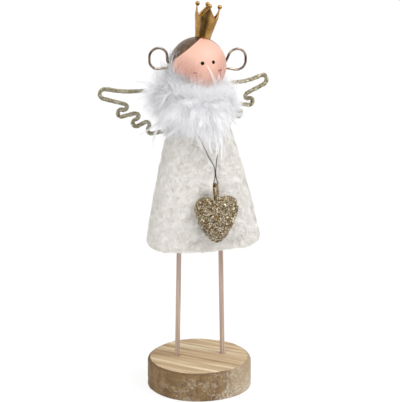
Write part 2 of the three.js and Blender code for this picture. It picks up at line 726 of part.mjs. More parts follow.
function collarRing() {
  const SECTION_SIDES = 12;
  const AROUND = 30;
  const section = (j) => {
    const turn = (j / AROUND) * 2 * Math.PI;
    const front = Math.max(0, -Math.sin(turn));
    const left = Math.max(0, Math.cos(turn - radians(COLLAR_LEFT_TURN))) ** 2;
    const reach = Math.sin(turn) < 0 ? COLLAR_RING_FRONT : COLLAR_RING_BACK;
    const away = vec(Math.cos(turn), Math.sin(turn), 0);
    const middle = vec(Math.cos(turn) * COLLAR_RING_X, Math.sin(turn) * reach, dressTop + COLLAR_RISE);
    const swell = (COLLAR_LEFT_SWELL * left) / 2;
    middle.addScaledVector(away, swell);
    middle.z += COLLAR_LEFT_RISE * left - COLLAR_FRONT_DROP * front ** 2;
    return { middle, away, half: COLLAR_THICKNESS / 2 + swell };
  };
  const rings = Array.from({ length: SECTION_SIDES }, (_, i) => {
    const lean = (i / SECTION_SIDES) * 2 * Math.PI;
    return Array.from({ length: AROUND }, (_, j) => {
      const { middle, away, half } = section(j);
      return middle.addScaledVector(away, half * Math.cos(lean)).add(vec(0, 0, (COLLAR_HEIGHT / 2) * Math.sin(lean)));
    });
  });
  return loft(rings, true);
}

add(
  'down_collar',
  cut(
    collarRing(),
    ball(headRadius + COLLAR_GAP, headCentre),
    loft(dressOutside(COLLAR_GAP)),
    dowel(neckLow, neckHigh, NECK_DIAMETER, COLLAR_GAP),
    wire(neckLoopPath, THREAD_DIAMETER + 2 * COLLAR_GAP, 36),
    ...[-1, 1].map((side) => wire(wingPath(side), WING_WIRE + 2 * COLLAR_GAP, WING_STEPS)),
  ),
  whiteDown,
);

export default figure;
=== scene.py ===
# %% [markdown]
# # A standing angel ornament
# The real figure stands about 28 cm tall: a sawn wooden slice, two thin dowel legs, a plush dress, a
# collar of white down, a painted ball head with wire hair loops and a crown, glittered wire wings,
# and a heart on a thread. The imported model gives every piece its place, so this lesson only rebuilds
# what shows, in the same frame. Shapes are worked out in millimetres, because that is how the figure
# was measured, and turned into metres when a mesh is made.

# %% Load the frame
import math

import bpy
import numpy as np
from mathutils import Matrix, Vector


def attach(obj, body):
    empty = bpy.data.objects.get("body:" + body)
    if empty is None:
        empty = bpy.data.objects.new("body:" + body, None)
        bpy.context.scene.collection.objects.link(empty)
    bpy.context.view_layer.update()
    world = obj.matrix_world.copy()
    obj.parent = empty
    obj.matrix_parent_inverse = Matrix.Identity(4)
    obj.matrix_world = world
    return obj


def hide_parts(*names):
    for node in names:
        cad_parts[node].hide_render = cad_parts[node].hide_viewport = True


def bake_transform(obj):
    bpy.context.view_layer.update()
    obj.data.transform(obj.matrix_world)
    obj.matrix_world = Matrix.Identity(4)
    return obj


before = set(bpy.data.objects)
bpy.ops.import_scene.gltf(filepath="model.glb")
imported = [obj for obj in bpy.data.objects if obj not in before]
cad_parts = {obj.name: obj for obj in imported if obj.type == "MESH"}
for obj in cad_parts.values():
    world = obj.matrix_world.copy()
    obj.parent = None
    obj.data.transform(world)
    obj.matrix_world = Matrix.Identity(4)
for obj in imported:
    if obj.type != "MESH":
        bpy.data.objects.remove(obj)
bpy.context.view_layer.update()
MM = 0.001

# %% [markdown]
# ## The camera
# The view was fitted to the ellipse of the base, the ball head and both wings: two metres away, 19
# degrees round to the figure's right hand and 17.6 degrees above the table. A long lens keeps the
# figure nearly free of perspective, as in the photograph.

# %% Camera
VIEW_AZIMUTH = math.radians(-19)
VIEW_ELEVATION = math.radians(17.6)
VIEW_DISTANCE = 2000
VIEW_TARGET = Vector((0, 0, 137.41))
FOCAL_PIXELS = 2836.5
IMAGE_WIDTH = 400
SENSOR_WIDTH = 36

camera_data = bpy.data.cameras.new("camera")
camera_data.sensor_fit = "HORIZONTAL"
camera_data.sensor_width = SENSOR_WIDTH
camera_data.lens = FOCAL_PIXELS * SENSOR_WIDTH / IMAGE_WIDTH
camera_data.shift_x = 0.001
camera_data.clip_end = 50
camera = bpy.data.objects.new("camera", camera_data)
towards_camera = Vector((
    math.sin(VIEW_AZIMUTH) * math.cos(VIEW_ELEVATION),
    -math.cos(VIEW_AZIMUTH) * math.cos(VIEW_ELEVATION),
    math.sin(VIEW_ELEVATION),
))
camera.location = (VIEW_TARGET + towards_camera * VIEW_DISTANCE) * MM
camera.rotation_euler = (-towards_camera).to_track_quat("-Z", "Y").to_euler()
bpy.context.collection.objects.link(camera)
bpy.context.scene.camera = camera
print("camera at", [round(v, 3) for v in camera.location])

# %% [markdown]
# ## Shader sums in plain Python
# A finish is easier to read as a sum than as a picture of boxes and wires. This small class holds one
# socket, and adding or multiplying it adds the Math node that does so. Everything else, such as a
# noise or a ramp, goes through one method.


# %% Shader helper
class Shade:
    """One output of a material's nodes. Sums and products on it add Math nodes; node() adds any other
    node."""

    def __init__(self, tree, socket=None):
        self.tree = tree
        self.socket = socket

    def node(self, kind, settings=None, output=0, **sockets):
        """Adds a node: its settings first, then a value or a link for each input, which is named with
        _ for a space or numbered as n0, n1 and so on."""
        made = self.tree.nodes.new(kind)
        for name, value in (settings or {}).items():
            if name == "stops":
                ramp = made.color_ramp
                while len(ramp.elements) < len(value):
                    ramp.elements.new(1)
                for element, (place, colour) in zip(ramp.elements, value):
                    element.position = place
                    element.color = (*colour, 1)
            else:
                setattr(made, name, value)
        for name, value in sockets.items():
            numbered = name[0] == "n" and name[1:].isdigit()
            key = int(name[1:]) if numbered else name.replace("_", " ")
            if isinstance(value, Shade):
                self.tree.links.new(value.socket, made.inputs[key])
            else:
                made.inputs[key].default_value = value
        return Shade(self.tree, made.outputs[output])

    def math(self, operation, first, second=0.0):
        return self.node("ShaderNodeMath", {"operation": operation}, n0=first, n1=second)

    def __add__(self, other):
        return self.math("ADD", self, other)

    def __radd__(self, other):
        return self.math("ADD", other, self)

    def __sub__(self, other):
        return self.math("SUBTRACT", self, other)

    def __rsub__(self, other):
        return self.math("SUBTRACT", other, self)

    def __mul__(self, other):
        return self.math("MULTIPLY", self, other)

    def __rmul__(self, other):
        return self.math("MULTIPLY", other, self)

    def larger(self, other):
        return self.math("MAXIMUM", self, other)

    def vector(self, operation, first, second=(0, 0, 0), output="Value"):
        settings = {"operation": operation}
        return self.node("ShaderNodeVectorMath", settings, output, n0=first, n1=second)

    def step(self, low, high):
        """0 below low, 1 above high, and a soft curve between them."""
        settings = {"interpolation_type": "SMOOTHSTEP"}
        return self.node("ShaderNodeMapRange", settings, Value=self, n1=low, n2=high)

    def ramp(self, *stops):
        return self.node("ShaderNodeValToRGB", {"stops": stops}, Fac=self)

    def mix(self, low, high):
        """The colour low where this value is 0, and high where it is 1."""
        low, high = ((*c, 1) if isinstance(c, tuple) else c for c in (low, high))
        return self.node("ShaderNodeMix", {"data_type": "RGBA"}, 2, n0=self, n6=low, n7=high)

    def place(self, scale=(1, 1, 1), turn=0.0, shift=(0, 0, 0)):
        """The point of the surface in the object's frame, turned about Z first and then scaled."""
        where = self.node("ShaderNodeTexCoord", output="Object")
        if turn:
            where = self.node("ShaderNodeMapping", Vector=where, Rotation=(0, 0, turn))
        return self.node("ShaderNodeMapping", Vector=where, Location=shift, Scale=scale)

    def noise(self, scale, detail, roughness=0.5, turn=0.0, shift=(0, 0, 0)):
        """A noise with so many blotches to the metre: one number, or one for each axis."""
        scale = scale if isinstance(scale, tuple) else (scale,) * 3
        where = self.place(scale, turn, shift)
        sockets = {"Vector": where, "Scale": 1.0, "Detail": detail, "Roughness": roughness}
        return self.node("ShaderNodeTexNoise", **sockets)

    def parts(self, where):
        """The X, Y and Z of a vector as three values."""
        split = self.node("ShaderNodeSeparateXYZ", Vector=where).socket.node
        return [Shade(self.tree, output) for output in split.outputs]

    def own_map(self):
        """The two values that a piece stores in its own UV map, and a third that is 0."""
        return self.parts(self.node("ShaderNodeUVMap", {"uv_map": "OFBake"}))

    def bump(self, height, strength, distance):
        return self.node("ShaderNodeBump", Strength=strength, Distance=distance, Height=height)


def finish(name, build, **constants):
    """A material: constants go on the shader's own sockets, and build gives what varies over the
    surface."""
    material = bpy.data.materials.new(name)
    material.use_nodes = True
    tree = material.node_tree
    shader = tree.nodes["Principled BSDF"]
    for socket, value in constants.items():
        shader.inputs[socket.replace("_", " ")].default_value = value
    for socket, value in build(Shade(tree)).items():
        tree.links.new(value.socket, shader.inputs[socket.replace("_", " ")])
    return material


def srgb(red, green, blue):
    """A colour read, 0 to 255, as the linear numbers that a shader takes."""
    return tuple(
        v / 12.92 if v <= 0.04045 else ((v + 0.055) / 1.055) ** 2.4
        for v in (red / 255, green / 255, blue / 255)
    )


def speckled(scale, detail, dark, pale, relief=None):
    """Builds a plain finish in two tones that a noise mixes. Relief is the strength and distance of a
    bump that follows the same noise."""
    def build(shade):
        patch = shade.noise(scale, detail)
        varies = {"Base_Color": patch.ramp((0.3, dark), (0.7, pale))}
        if relief:
            varies["Normal"] = shade.bump(patch, *relief)
        return varies

    return build


print("shader helper ready")

# %% [markdown]
# ## Surfaces from numpy
# Nearly every piece here is either a stack of rings or a circle carried along a wire. Both are one
# array of points, rows by columns, so one function can skin them all. Each column runs on to the first
# again, and flat fans close the two ends.

# %% Mesh helpers
UP = np.array([0, 0, 1.0])


def full_turn(count):
    """Even angles once round. The end is left out, because it is the start again."""
    return np.linspace(0, 2 * np.pi, count, endpoint=False)


def spoke(turn):
    """The level unit vector at a turn about Z: cosine, sine, 0."""
    return np.stack([np.cos(turn), np.sin(turn), 0 * turn], axis=-1)


def unit(vectors):
    return vectors / np.linalg.norm(vectors, axis=-1, keepdims=True)


def skin(grid, closed=False):
    """Quads between neighbouring rows and columns of a (rows, columns, 3) array, and fans over the two
    end rings, or else quads from the last ring to the first."""
    rows, columns, _ = grid.shape
    index = np.arange(rows * columns).reshape(rows, columns)
    around = np.roll(index, -1, axis=1)
    above = np.roll(index, -1, axis=0)
    above_around = np.roll(above, -1, axis=1)
    last = rows if closed else rows - 1
    quads = np.stack([index, around, above_around, above], axis=-1)[:last].reshape(-1, 4)
    points = grid.reshape(-1, 3)
    if closed:
        return points, [quads]
    middles = np.stack([grid[0].mean(axis=0), grid[-1].mean(axis=0)])
    low = np.stack([np.full(columns, rows * columns), around[0], index[0]], axis=-1)
    high = np.stack([np.full(columns, rows * columns + 1), index[-1], around[-1]], axis=-1)
    return np.concatenate([points, middles]), [quads, np.concatenate([low, high])]


def together(*shapes):
    """Several (points, faces) shapes as one, with the numbers of the later ones moved up."""
    points, faces, count = [], [], 0
    for some_points, some_faces in shapes:
        points.append(some_points)
        faces += [f + count for f in some_faces]
        count += len(some_points)
    return np.concatenate(points), faces


def piece(name, shape, material, body, replaces=(), smooth=True, uv=None):
    """Puts points (in mm) and faces into a mesh, gives it its finish, and hangs it on a body of the
    frame."""
    points, faces = shape
    mesh = bpy.data.meshes.new(name)
    corners = np.concatenate([f.ravel() for f in faces]).astype(np.int32)
    sizes = np.concatenate([np.full(len(f), f.shape[1]) for f in faces])
    starts = np.concatenate([[0], np.cumsum(sizes)[:-1]]).astype(np.int32)
    mesh.vertices.add(len(points))
    mesh.vertices.foreach_set("co", (points * MM).astype(np.float32).ravel())
    mesh.loops.add(len(corners))
    mesh.loops.foreach_set("vertex_index", corners)
    mesh.polygons.add(len(sizes))
    mesh.polygons.foreach_set("loop_start", starts)
    mesh.polygons.foreach_set("use_smooth", np.full(len(sizes), smooth))
    mesh.update(calc_edges=True)
    if uv is not None:
        layer = mesh.uv_layers.new(name="OFBake")
        layer.data.foreach_set("uv", uv[corners].astype(np.float32).ravel())
    mesh.materials.append(material)
    made = bpy.data.objects.new(name, mesh)
    bpy.context.collection.objects.link(made)
    if body:
        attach(made, body)
    if replaces:
        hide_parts(*replaces)
    print(name, len(points), "points,", int((sizes - 2).sum()), "triangles")
    return made


def carried(path, radius, sides):
    """A circle carried along a path of points. Its frame turns with the path as little as it can, and
    radius may be one number or one for each point."""
    ahead = unit(np.gradient(path, axis=0))
    across = np.empty_like(ahead)
    helper = np.eye(3)[np.argmin(np.abs(ahead[0]))]
    across[0] = unit(np.cross(ahead[0], helper))
    for i in range(1, len(path)):
        across[i] = unit(across[i - 1] - ahead[i] * (across[i - 1] @ ahead[i]))
    other = np.cross(ahead, across)
    turn = full_turn(sides)[:, None]
    circle = np.cos(turn) * across[:, None] + np.sin(turn) * other[:, None]
    return path[:, None] + np.broadcast_to(radius, len(path))[:, None, None] * circle


def spaced(points, spacing):
    """The same route with points at even steps along it."""
    run = np.concatenate([[0], np.cumsum(np.linalg.norm(np.diff(points, axis=0), axis=1))])
    keep = np.concatenate([[True], np.diff(run) > 1e-6])
    steps = np.linspace(0, run[-1], max(2, round(run[-1] / spacing) + 1))
    return np.stack([np.interp(steps, run[keep], axis[keep]) for axis in points.T], axis=1)


def waves(points, size, seed, count=10):
    """A smooth random field over space, about -1 to 1: a sum of sine waves of the given size in random
    directions."""
    chance = np.random.default_rng(seed)
    heading = unit(chance.normal(size=(count, 3)))
    pace = heading * (2 * np.pi / size) * chance.uniform(0.7, 1.4, (count, 1))
    start = chance.uniform(0, 2 * np.pi, count)
    return np.sin(points @ pace.T + start).sum(axis=-1) / math.sqrt(count)


def scatter(grid, count, seed):
    """Random points spread evenly by area over a skinned grid: their places and outward directions."""
    chance = np.random.default_rng(seed)
    corner = grid[:-1]
    right = np.roll(grid, -1, axis=1)[:-1] - corner
    up = np.roll(grid, -1, axis=0)[:-1] - corner
    outward = np.cross(right, up)
    area = np.linalg.norm(outward, axis=-1).ravel()
    chosen = chance.choice(area.size, size=count, p=area / area.sum())
    u, v = chance.uniform(0, 1, (2, count, 1))
    corner, right, up, outward = (a.reshape(-1, 3)[chosen] for a in (corner, right, up, outward))
    return corner + u * right + v * up, unit(outward + 1e-12)


print("mesh helpers ready")

# %% [markdown]
# ## The studio
# The photograph was taken against white, with soft light from the upper right. A pale floor catches the
# shadow, and the world gives an even dim light. The camera sees it white, and so do mirrors, except to
# the left of the photographer, where a real studio is dark: polished metal needs something dark to
# show. One wide lamp does most of the work, and a weaker one fills in from the left.

# %% Studio
AMBIENT = 0.66
DARK_TURN = VIEW_AZIMUTH - 0.35
DARK_WAY = (math.sin(DARK_TURN), -math.cos(DARK_TURN), 0.0)
DARK_EDGE = (0.45, 0.9)
scene = bpy.context.scene
scene.view_settings.view_transform = "Standard"


def rays(shade, *kinds):
    """1 for rays of any of these kinds, such as those from the camera, from a mirror or through
    glass."""
    outputs = shade.node("ShaderNodeLightPath").socket.node.outputs
    chosen = Shade(shade.tree, outputs[kinds[0]])
    for kind in kinds[1:]:
        chosen = chosen.larger(Shade(shade.tree, outputs[kind]))
    return chosen


def lamp(name, place, aim, size, power):
    data = bpy.data.lights.new(name, "AREA")
    data.size = size
    data.energy = power
    made = bpy.data.objects.new(name, data)
    made.location = place
    made.rotation_euler = (Vector(aim) - Vector(place)).to_track_quat("-Z", "Y").to_euler()
    bpy.context.collection.objects.link(made)


world = bpy.data.worlds.new("studio")
world.use_nodes = True
sky = world.node_tree.nodes["Background"]
air = Shade(world.node_tree)
sky_way = air.node("ShaderNodeTexCoord", output="Generated")
seen_in_mirror = 1 - air.vector("DOT_PRODUCT", sky_way, DARK_WAY).step(*DARK_EDGE) * 0.85
dim_or_mirror = rays(air, "Is Glossy Ray", "Is Transmission Ray").mix((AMBIENT,) * 3, seen_in_mirror)
light_level = rays(air, "Is Camera Ray").mix(dim_or_mirror, (1, 1, 1))
world.node_tree.links.new(light_level.socket, sky.inputs["Color"])
scene.world = world

lamp("key_right", (1.05, -1.05, 2.05), (0, 0, 0.15), 1.3, 30.5)
lamp("fill_left", (-1.5, -1.3, 1.5), (0, 0, 0.2), 1.5, 15)
print("lamps:", [light.name for light in bpy.data.lights])

# %% [markdown]
# The floor glows for the camera and for mirrors, which makes it white, but only four fifths of the
# way, so that the shadow still shows. Far out on the dark side mirrors see it dark, as they do the sky.

# %% Floor
FLOOR_SIZE = 6000
FLOOR_DROP = 0.2
FLOOR_GLOW = 1.06
floor_points = np.array([[-1, -1, 0], [1, -1, 0], [1, 1, 0], [-1, 1, 0]]) * FLOOR_SIZE - FLOOR_DROP * UP
floor_material = bpy.data.materials.new("pale_floor")
floor_material.use_nodes = True
floor_tree = floor_material.node_tree
floor_paint = floor_tree.nodes["Principled BSDF"]
floor_paint.inputs["Roughness"].default_value = 0.9

on_floor = Shade(floor_tree)
from_figure = on_floor.vector("LENGTH", on_floor.place())
floor_way = on_floor.vector("NORMALIZE", on_floor.place(), output="Vector")
floor_side = on_floor.vector("DOT_PRODUCT", floor_way, DARK_WAY)
in_mirror = rays(on_floor, "Is Glossy Ray", "Is Transmission Ray")
in_dark = in_mirror * from_figure.step(0.12, 0.4) * floor_side.step(*DARK_EDGE)
floor_tone = in_dark.mix((0.9, 0.9, 0.9), (0.05, 0.05, 0.05))
floor_tree.links.new(floor_tone.socket, floor_paint.inputs["Base Color"])
seen_white = rays(on_floor, "Is Camera Ray").larger(in_mirror - in_dark) * 0.8
floor_glow = on_floor.node("ShaderNodeEmission", Strength=FLOOR_GLOW)
painted = Shade(floor_tree, floor_paint.outputs[0])
floor_seen = on_floor.node("ShaderNodeMixShader", n0=seen_white, n1=painted, n2=floor_glow)
floor_tree.links.new(floor_seen.socket, floor_tree.nodes["Material Output"].inputs[0])
floor = piece("floor", (floor_points, [np.array([[0, 1, 2, 3]])]), floor_material, None)

# %% [markdown]
# ## The body's measures
# The plush dress, the thread and the collar all follow one leaning, squarish cone. These few sums give
# its half width, half depth and middle at any height, so that everything that lies on it fits.

# %% Measures of the body
BASE_TOP = 21
HEM = 107
HEM_X, TOP_X = 2.9, -1
CORE_BOTTOM, CORE_TOP = 111, 207
CORE_WIDTHS = 70.4, 23
CORE_DEPTHS = 34, 18
DRESS_TOP = 212
SHOULDER_ROUND = 5.5
SHOULDER = DRESS_TOP - SHOULDER_ROUND
SIDE_SWELL = 1.8
SQUARENESS = 2.4
PLUSH = 6.6
HEAD_MIDDLE = np.array([-1.4, 0, 236.4])
HEAD_RADIUS = 20


def body_middle(z):
    """The X of the leaning middle line, from the hem's middle to the top's."""
    return HEM_X + (TOP_X - HEM_X) * (z - HEM) / (DRESS_TOP - HEM)


def dress_half(z):
    """Half width and half depth: straight tapers with the plush added, and a slight swell of the
    sides."""
    t = (z - CORE_BOTTOM) / (CORE_TOP - CORE_BOTTOM)
    swell = SIDE_SWELL * np.sin(np.pi * np.clip((z - HEM) / (DRESS_TOP - HEM), 0, 1))
    width, depth = (low + (high - low) * t for low, high in (CORE_WIDTHS, CORE_DEPTHS))
    return width / 2 + PLUSH + swell, depth / 2 + PLUSH


def squarish(turn, width, depth):
    """A point of a rounded rectangle-like oval by its turn: each of cosine and sine is raised to
    2 / squareness."""
    fill = lambda v: np.sign(v) * np.abs(v) ** (2 / SQUARENESS)
    return width * fill(np.cos(turn)), depth * fill(np.sin(turn))


def on_front(x, z, clear):
    """A point just off the front of the dress."""
    width, depth = dress_half(z)
    across = abs(x - body_middle(z)) / (width + clear)
    return [x, -(depth + clear) * (1 - across**SQUARENESS) ** (1 / SQUARENESS), z]


print("dress at the hem:", [round(float(v), 1) for v in dress_half(HEM)], "mm half width and depth")

# %% [markdown]
# ## The thread of the necklace
# One thin dark thread is tied at the nape, lies over both shoulders under the collar, and hangs down
# the front through the eye of the heart. It is one real tube on a smooth curve through listed points,
# and it hangs on no body of the frame.

# %% Thread route
THREAD = 0.7
CLEAR = 0.3 + THREAD / 2
HEART_X = 2.9
EYE_TOP = np.array([HEART_X, -25.88, 157.07])
FORK_X, FORK_Z = 4.8, 166.4
BOW = 1.9 / 2 + CLEAR
STEM = 0.6 / 2


def smooth_through(points, steps):
    """A curve through points: between two of them, blended from the line through the neighbours on
    either side, with knots spaced by the square root of the distance."""
    points = np.asarray(points, float)
    padded = np.concatenate([[2 * points[0] - points[1]], points, [2 * points[-1] - points[-2]]])
    p0, p1, p2, p3 = (padded[i : len(padded) - 3 + i, None] for i in range(4))
    gap = lambda a, b: np.sqrt(np.linalg.norm(b - a, axis=-1, keepdims=True))
    t1 = gap(p0, p1)
    t2 = t1 + gap(p1, p2)
    t3 = t2 + gap(p2, p3)
    t = t1 + (t2 - t1) * np.linspace(0, 1, steps, endpoint=False)[None, :, None]
    a1 = (t1 - t) / t1 * p0 + t / t1 * p1
    a2 = (t2 - t) / (t2 - t1) * p1 + (t - t1) / (t2 - t1) * p2
    a3 = (t3 - t) / (t3 - t2) * p2 + (t - t2) / (t3 - t2) * p3
    b1 = (t2 - t) / t2 * a1 + t / t2 * a2
    b2 = (t3 - t) / (t3 - t1) * a2 + (t - t1) / (t3 - t1) * a3
    curve = (t2 - t) / (t2 - t1) * b1 + (t - t1) / (t2 - t1) * b2
    return np.concatenate([curve.reshape(-1, 3), points[-1:]])


def over_shoulder(*stops):
    """Points over the rounded shoulder, each by degrees round the neck and degrees up the rounding."""
    points = []
    for around, lean in stops:
        turn, rise = math.radians(around), math.radians(lean)
        width, depth = dress_half(SHOULDER)
        inset = SHOULDER_ROUND * (1 - math.cos(rise)) - CLEAR
        x, y = squarish(turn, width - inset, depth - inset)
        height = SHOULDER + (SHOULDER_ROUND + CLEAR) * math.sin(rise)
        points.append([body_middle(SHOULDER) + x, y, height])
    return points


def down_front(*stops):
    return [on_front(x, z, CLEAR) for x, z in stops]


stem_middle = np.array(on_front(FORK_X, FORK_Z, CLEAR)) * 0.55 + EYE_TOP * 0.45
eye_bow = [(-0.8, 0.9), (-1, 0), (0, -1), (1, 0), (0.8, 0.9)]
thread_points = [
    *over_shoulder((91, 90), (122, 90), (155, 90), (186, 90), (207, 55), (222, 15)),
    *down_front((-12.6, 202), (-9.4, 195), (-4.6, 186), (0, 175.6)),
    *down_front((FORK_X - STEM - 0.4, FORK_Z + 1)),
    stem_middle - [STEM, 0, 0],
    *(EYE_TOP + [BOW * across, 0, BOW * rise] for across, rise in eye_bow),
    stem_middle + [STEM, 0, 0],
    *down_front((FORK_X + STEM + 0.3, FORK_Z + 1)),
    *down_front((6.6, 175.6), (8.4, 186), (11.6, 195), (14.2, 202)),
    *over_shoulder((-38, 15), (-27, 55), (-6, 90), (25, 90), (58, 90), (86, 90)),
]
thread_route = spaced(smooth_through(thread_points, 24), 0.5)

# %% [markdown]
# The thread is dark grey, with a fine mottle for its twist.

# %% Thread
thread_tones = speckled((900, 900, 500), 2, srgb(26, 26, 28), srgb(62, 62, 66), (0.4, 0.0002))
thread_finish = finish("grey_thread", thread_tones, Roughness=0.7)
thread_shape = skin(carried(thread_route, THREAD / 2, 8))
thread_nodes = ["necklace_neck_loop", "necklace_strands"]
thread = piece("necklace_thread", thread_shape, thread_finish, None, thread_nodes)
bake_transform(thread)

# %% [markdown]
# ## The base
# The base is a slice of plank sawn round: straight grain runs across its top, its upper edge is worn,
# and chalky white has been rubbed over the side. Its surface is a ring whose radius strays a little
# from a circle, taken up the side and over the worn edge to the middle. The wear is deeper on the
# right, as in the photograph.

# %% Base shape
BASE_RADIUS = 37
BASE_SIDES = 200


def base_surface():
    """Rings from the underside up the side and over the edge. Radius = the base's own + slow stray -
    inset, with small dents in the side."""
    turn = full_turn(BASE_SIDES)
    full = BASE_RADIUS + 0.5 * (0.6 * np.sin(2 * turn + 0.7) + 0.4 * np.sin(5 * turn))
    deepest = np.exp(3 * (np.cos(turn - math.radians(-22)) - 1))
    wear = 2.2 + 1.9 * deepest + 0.35 * np.sin(3 * turn) + 0.2 * np.sin(7 * turn)
    under = np.linspace(0.97, 0.02, 10)[:, None]
    upright = np.linspace(0.5, 16.5, 14)[:, None]
    lean = np.linspace(0, np.pi / 2, 9)[:, None]
    top = np.linspace(0.96, 0.02, 14)[:, None]
    radius = np.concatenate([
        full - BASE_RADIUS * under,
        full + 0 * upright,
        full - (1 - np.cos(lean)) * wear,
        (full - wear) * top,
    ])
    z = np.concatenate([
        0 * under + 0 * turn,
        upright + 0 * turn,
        BASE_TOP - wear * (1 - np.sin(lean)),
        BASE_TOP + 0 * top * turn,
    ])
    grid = np.stack([radius * np.cos(turn), radius * np.sin(turn), z], axis=-1)
    dents = np.minimum(0, waves(grid, 9, 4) * 0.2 + waves(grid, 3.5, 5) * 0.1 - 0.05)
    side = ((z > 0.4) & (radius > 30))[..., None]
    return grid + side * dents[..., None] * spoke(turn)


base_grid = base_surface()
print("base", [round(float(v), 1) for v in np.ptp(base_grid.reshape(-1, 3), axis=0)], "mm")

# %% [markdown]
# The grain is a noise stretched along the plank, which lies square to the camera's view. Fine dark
# lines follow it, the side is browner, and the white is a blotchy noise that only shows on the side and
# the worn rim. A painted shadow darkens the wood round the feet of the legs.

# %% Base finish
GRAIN_TURN = math.radians(46)
LEG_TURN = math.radians(-11.5)
LEGS_APART_LOW, LEGS_APART_HIGH = 32.6, 29.6
LEGS_X, LEGS_Y = 1.3, 3.2
FOOT_POINT = 9


def leg_axis(side):
    """Points along the axis: the legs are 32.6 mm apart at the base and 29.6 mm at the hem, on a line
    turned by 11.5 degrees."""
    z = np.linspace(9.2, 130.5, 90)
    nearer = (LEGS_APART_HIGH - LEGS_APART_LOW) * (z - BASE_TOP) / (HEM - BASE_TOP)
    along = side * (LEGS_APART_LOW + nearer) / 2
    x, y = LEGS_X + along * math.cos(LEG_TURN), LEGS_Y + along * math.sin(LEG_TURN)
    return np.stack([x, y, z], axis=1)


def sawn_wood_build(shade):
    plank = shade.noise((7, 105, 50), 6, 0.62, turn=GRAIN_TURN)
    lines = shade.noise((16, 520, 240), 4, 0.65, turn=GRAIN_TURN)
    top = (plank * 0.7 + lines * 0.3).ramp(
        (0.36, srgb(126, 96, 62)),
        (0.45, srgb(172, 143, 105)),
        (0.53, srgb(196, 174, 140)),
        (0.62, srgb(230, 214, 184)),
    )
    rough = shade.noise((210, 210, 90), 5, 0.7)
    side = (plank * 0.35 + lines * 0.3 + rough * 0.35).ramp(
        (0.36, srgb(78, 53, 27)), (0.5, srgb(117, 90, 54)), (0.64, srgb(149, 121, 82))
    )
    x, _, z = shade.parts(shade.place(turn=-VIEW_AZIMUTH))
    # Painted light: the side turns paler towards the right, which faces the key lamp.
    side = (x.step(0.012, 0.032) * 0.5).mix(side, srgb(198, 178, 148))
    up = shade.parts(shade.node("ShaderNodeNewGeometry", output="Normal"))[2]
    on_top = up.step(0.9, 0.99) * z.step(0.0150, 0.0165)
    # The rim's darkening is held back on the right, where the key lamp falls: painted light.
    rim = up.step(0.12, 0.6) * (1 - on_top) * (1 - x.step(0.012, 0.03) * 0.8)
    specks = shade.noise(620, 4, 0.75)
    patch = shade.noise((42, 42, 60), 3, 0.6, shift=(3, 1, 2))
    reach = patch * 0.55 - shade.math("ABSOLUTE", x - 0.0195) * 2.6 - z * 4.0 + 0.13
    chalk = (specks * 0.6 + reach).step(0.58, 0.86) * (1 - on_top * 0.9)
    # Painted contact shadow: the wood darkens round the feet of the legs.
    off_foot_shadows = 1.0
    for leg_side in (-1, 1):
        foot_x, foot_y, _ = (float(v) for v in leg_axis(leg_side)[FOOT_POINT] * MM)
        away = shade.vector("DISTANCE", shade.place(), (foot_x, foot_y, BASE_TOP * MM))
        off_foot_shadows = away.step(0.0015, 0.0026) * off_foot_shadows
    wood = on_top.mix(side, top)
    # The worn rim darkens in patches: worn wood, and painted shade.
    wood = (rim * rough.step(0.35, 0.62) * 0.75).mix(wood, srgb(92, 64, 36))
    # The painted shadow round the feet of the legs.
    wood = off_foot_shadows.mix(srgb(104, 76, 48), wood)
    relief = lines * 0.5 + rough * 0.4 + chalk * 0.4 + plank * 0.3
    return {
        "Base_Color": (chalk * 0.8).mix(wood, srgb(224, 215, 200)),
        "Normal": shade.bump(relief, 0.35, 0.0006),
        "Roughness": 0.72 + chalk * 0.2,
    }


sawn_wood = finish("sawn_wood", sawn_wood_build)
piece("base_slice", skin(base_grid), sawn_wood, "figure", ["base_disc"])

# %% [markdown]
# ## The legs
# Two thin dowels lean slightly towards each other from the base to the body. A circle carried along
# each axis makes them, with a trace of unevenness so that the light breaks along them, and a pinkish
# stain streaked along the wood.

# %% Legs
LEG_RADIUS = 1.7


def leg_build(shade):
    streak = shade.noise((900, 900, 25), 4, 0.6)
    tones = [(0.3, srgb(166, 142, 127)), (0.55, srgb(190, 168, 153)), (0.75, srgb(205, 185, 171))]
    return {"Base_Color": streak.ramp(*tones), "Normal": shade.bump(streak, 0.25, 0.0002)}


leg_finish = finish("leg_paint", leg_build, Roughness=0.6)
for leg_name, leg_side in (("left_leg", -1), ("right_leg", 1)):
    axis_points = leg_axis(leg_side)
    leg_radius = LEG_RADIUS + 0.05 * waves(axis_points, 30, 7 + leg_side)
    leg_shape = skin(carried(axis_points, leg_radius, 24))
    piece(leg_name + "_dowel", leg_shape, leg_finish, "figure", [leg_name])

# %% [markdown]
# ## The head
# A wooden ball carries the whole face in paint. The skin and hair are one surface, because real paint
# has no thickness that shows: the hairline is where two round caps, one swept to either side, meet at a
# parting under the crown. Smaller caps bring it down beside the cheeks. The cheeks blush softly, and
# painted shade darkens the lower face. Each cap is a direction and the cosine of the angle to its edge.

# %% Head
HAIR_CAPS = [
    ((-0.538, 0.331, 0.775), 0.696),
    ((0.62, 0.42, 0.66), 0.79),
    ((-0.755, 0.624, 0.201), 0.615),
    ((0.755, 0.624, 0.201), 0.615),
    ((0, 1, 0), -0.05),
]


def direction(azimuth, elevation):
    """Unit vectors from the middle of the head: azimuth in degrees from the face towards the right,
    elevation up."""
    a, e = np.radians(azimuth), np.radians(elevation)
    return np.stack([np.sin(a) * np.cos(e), -np.cos(a) * np.cos(e), np.sin(e)], axis=-1)


def ball(middle, radius, rings, sides):
    """Rings at even angles from the lowest point to the top, which are left to the closing fans."""
    lean = np.linspace(-np.pi / 2, np.pi / 2, rings + 2)[1:-1, None, None]
    around = np.cos(lean) * spoke(full_turn(sides)) + np.sin(lean) * UP
    return middle + radius * around


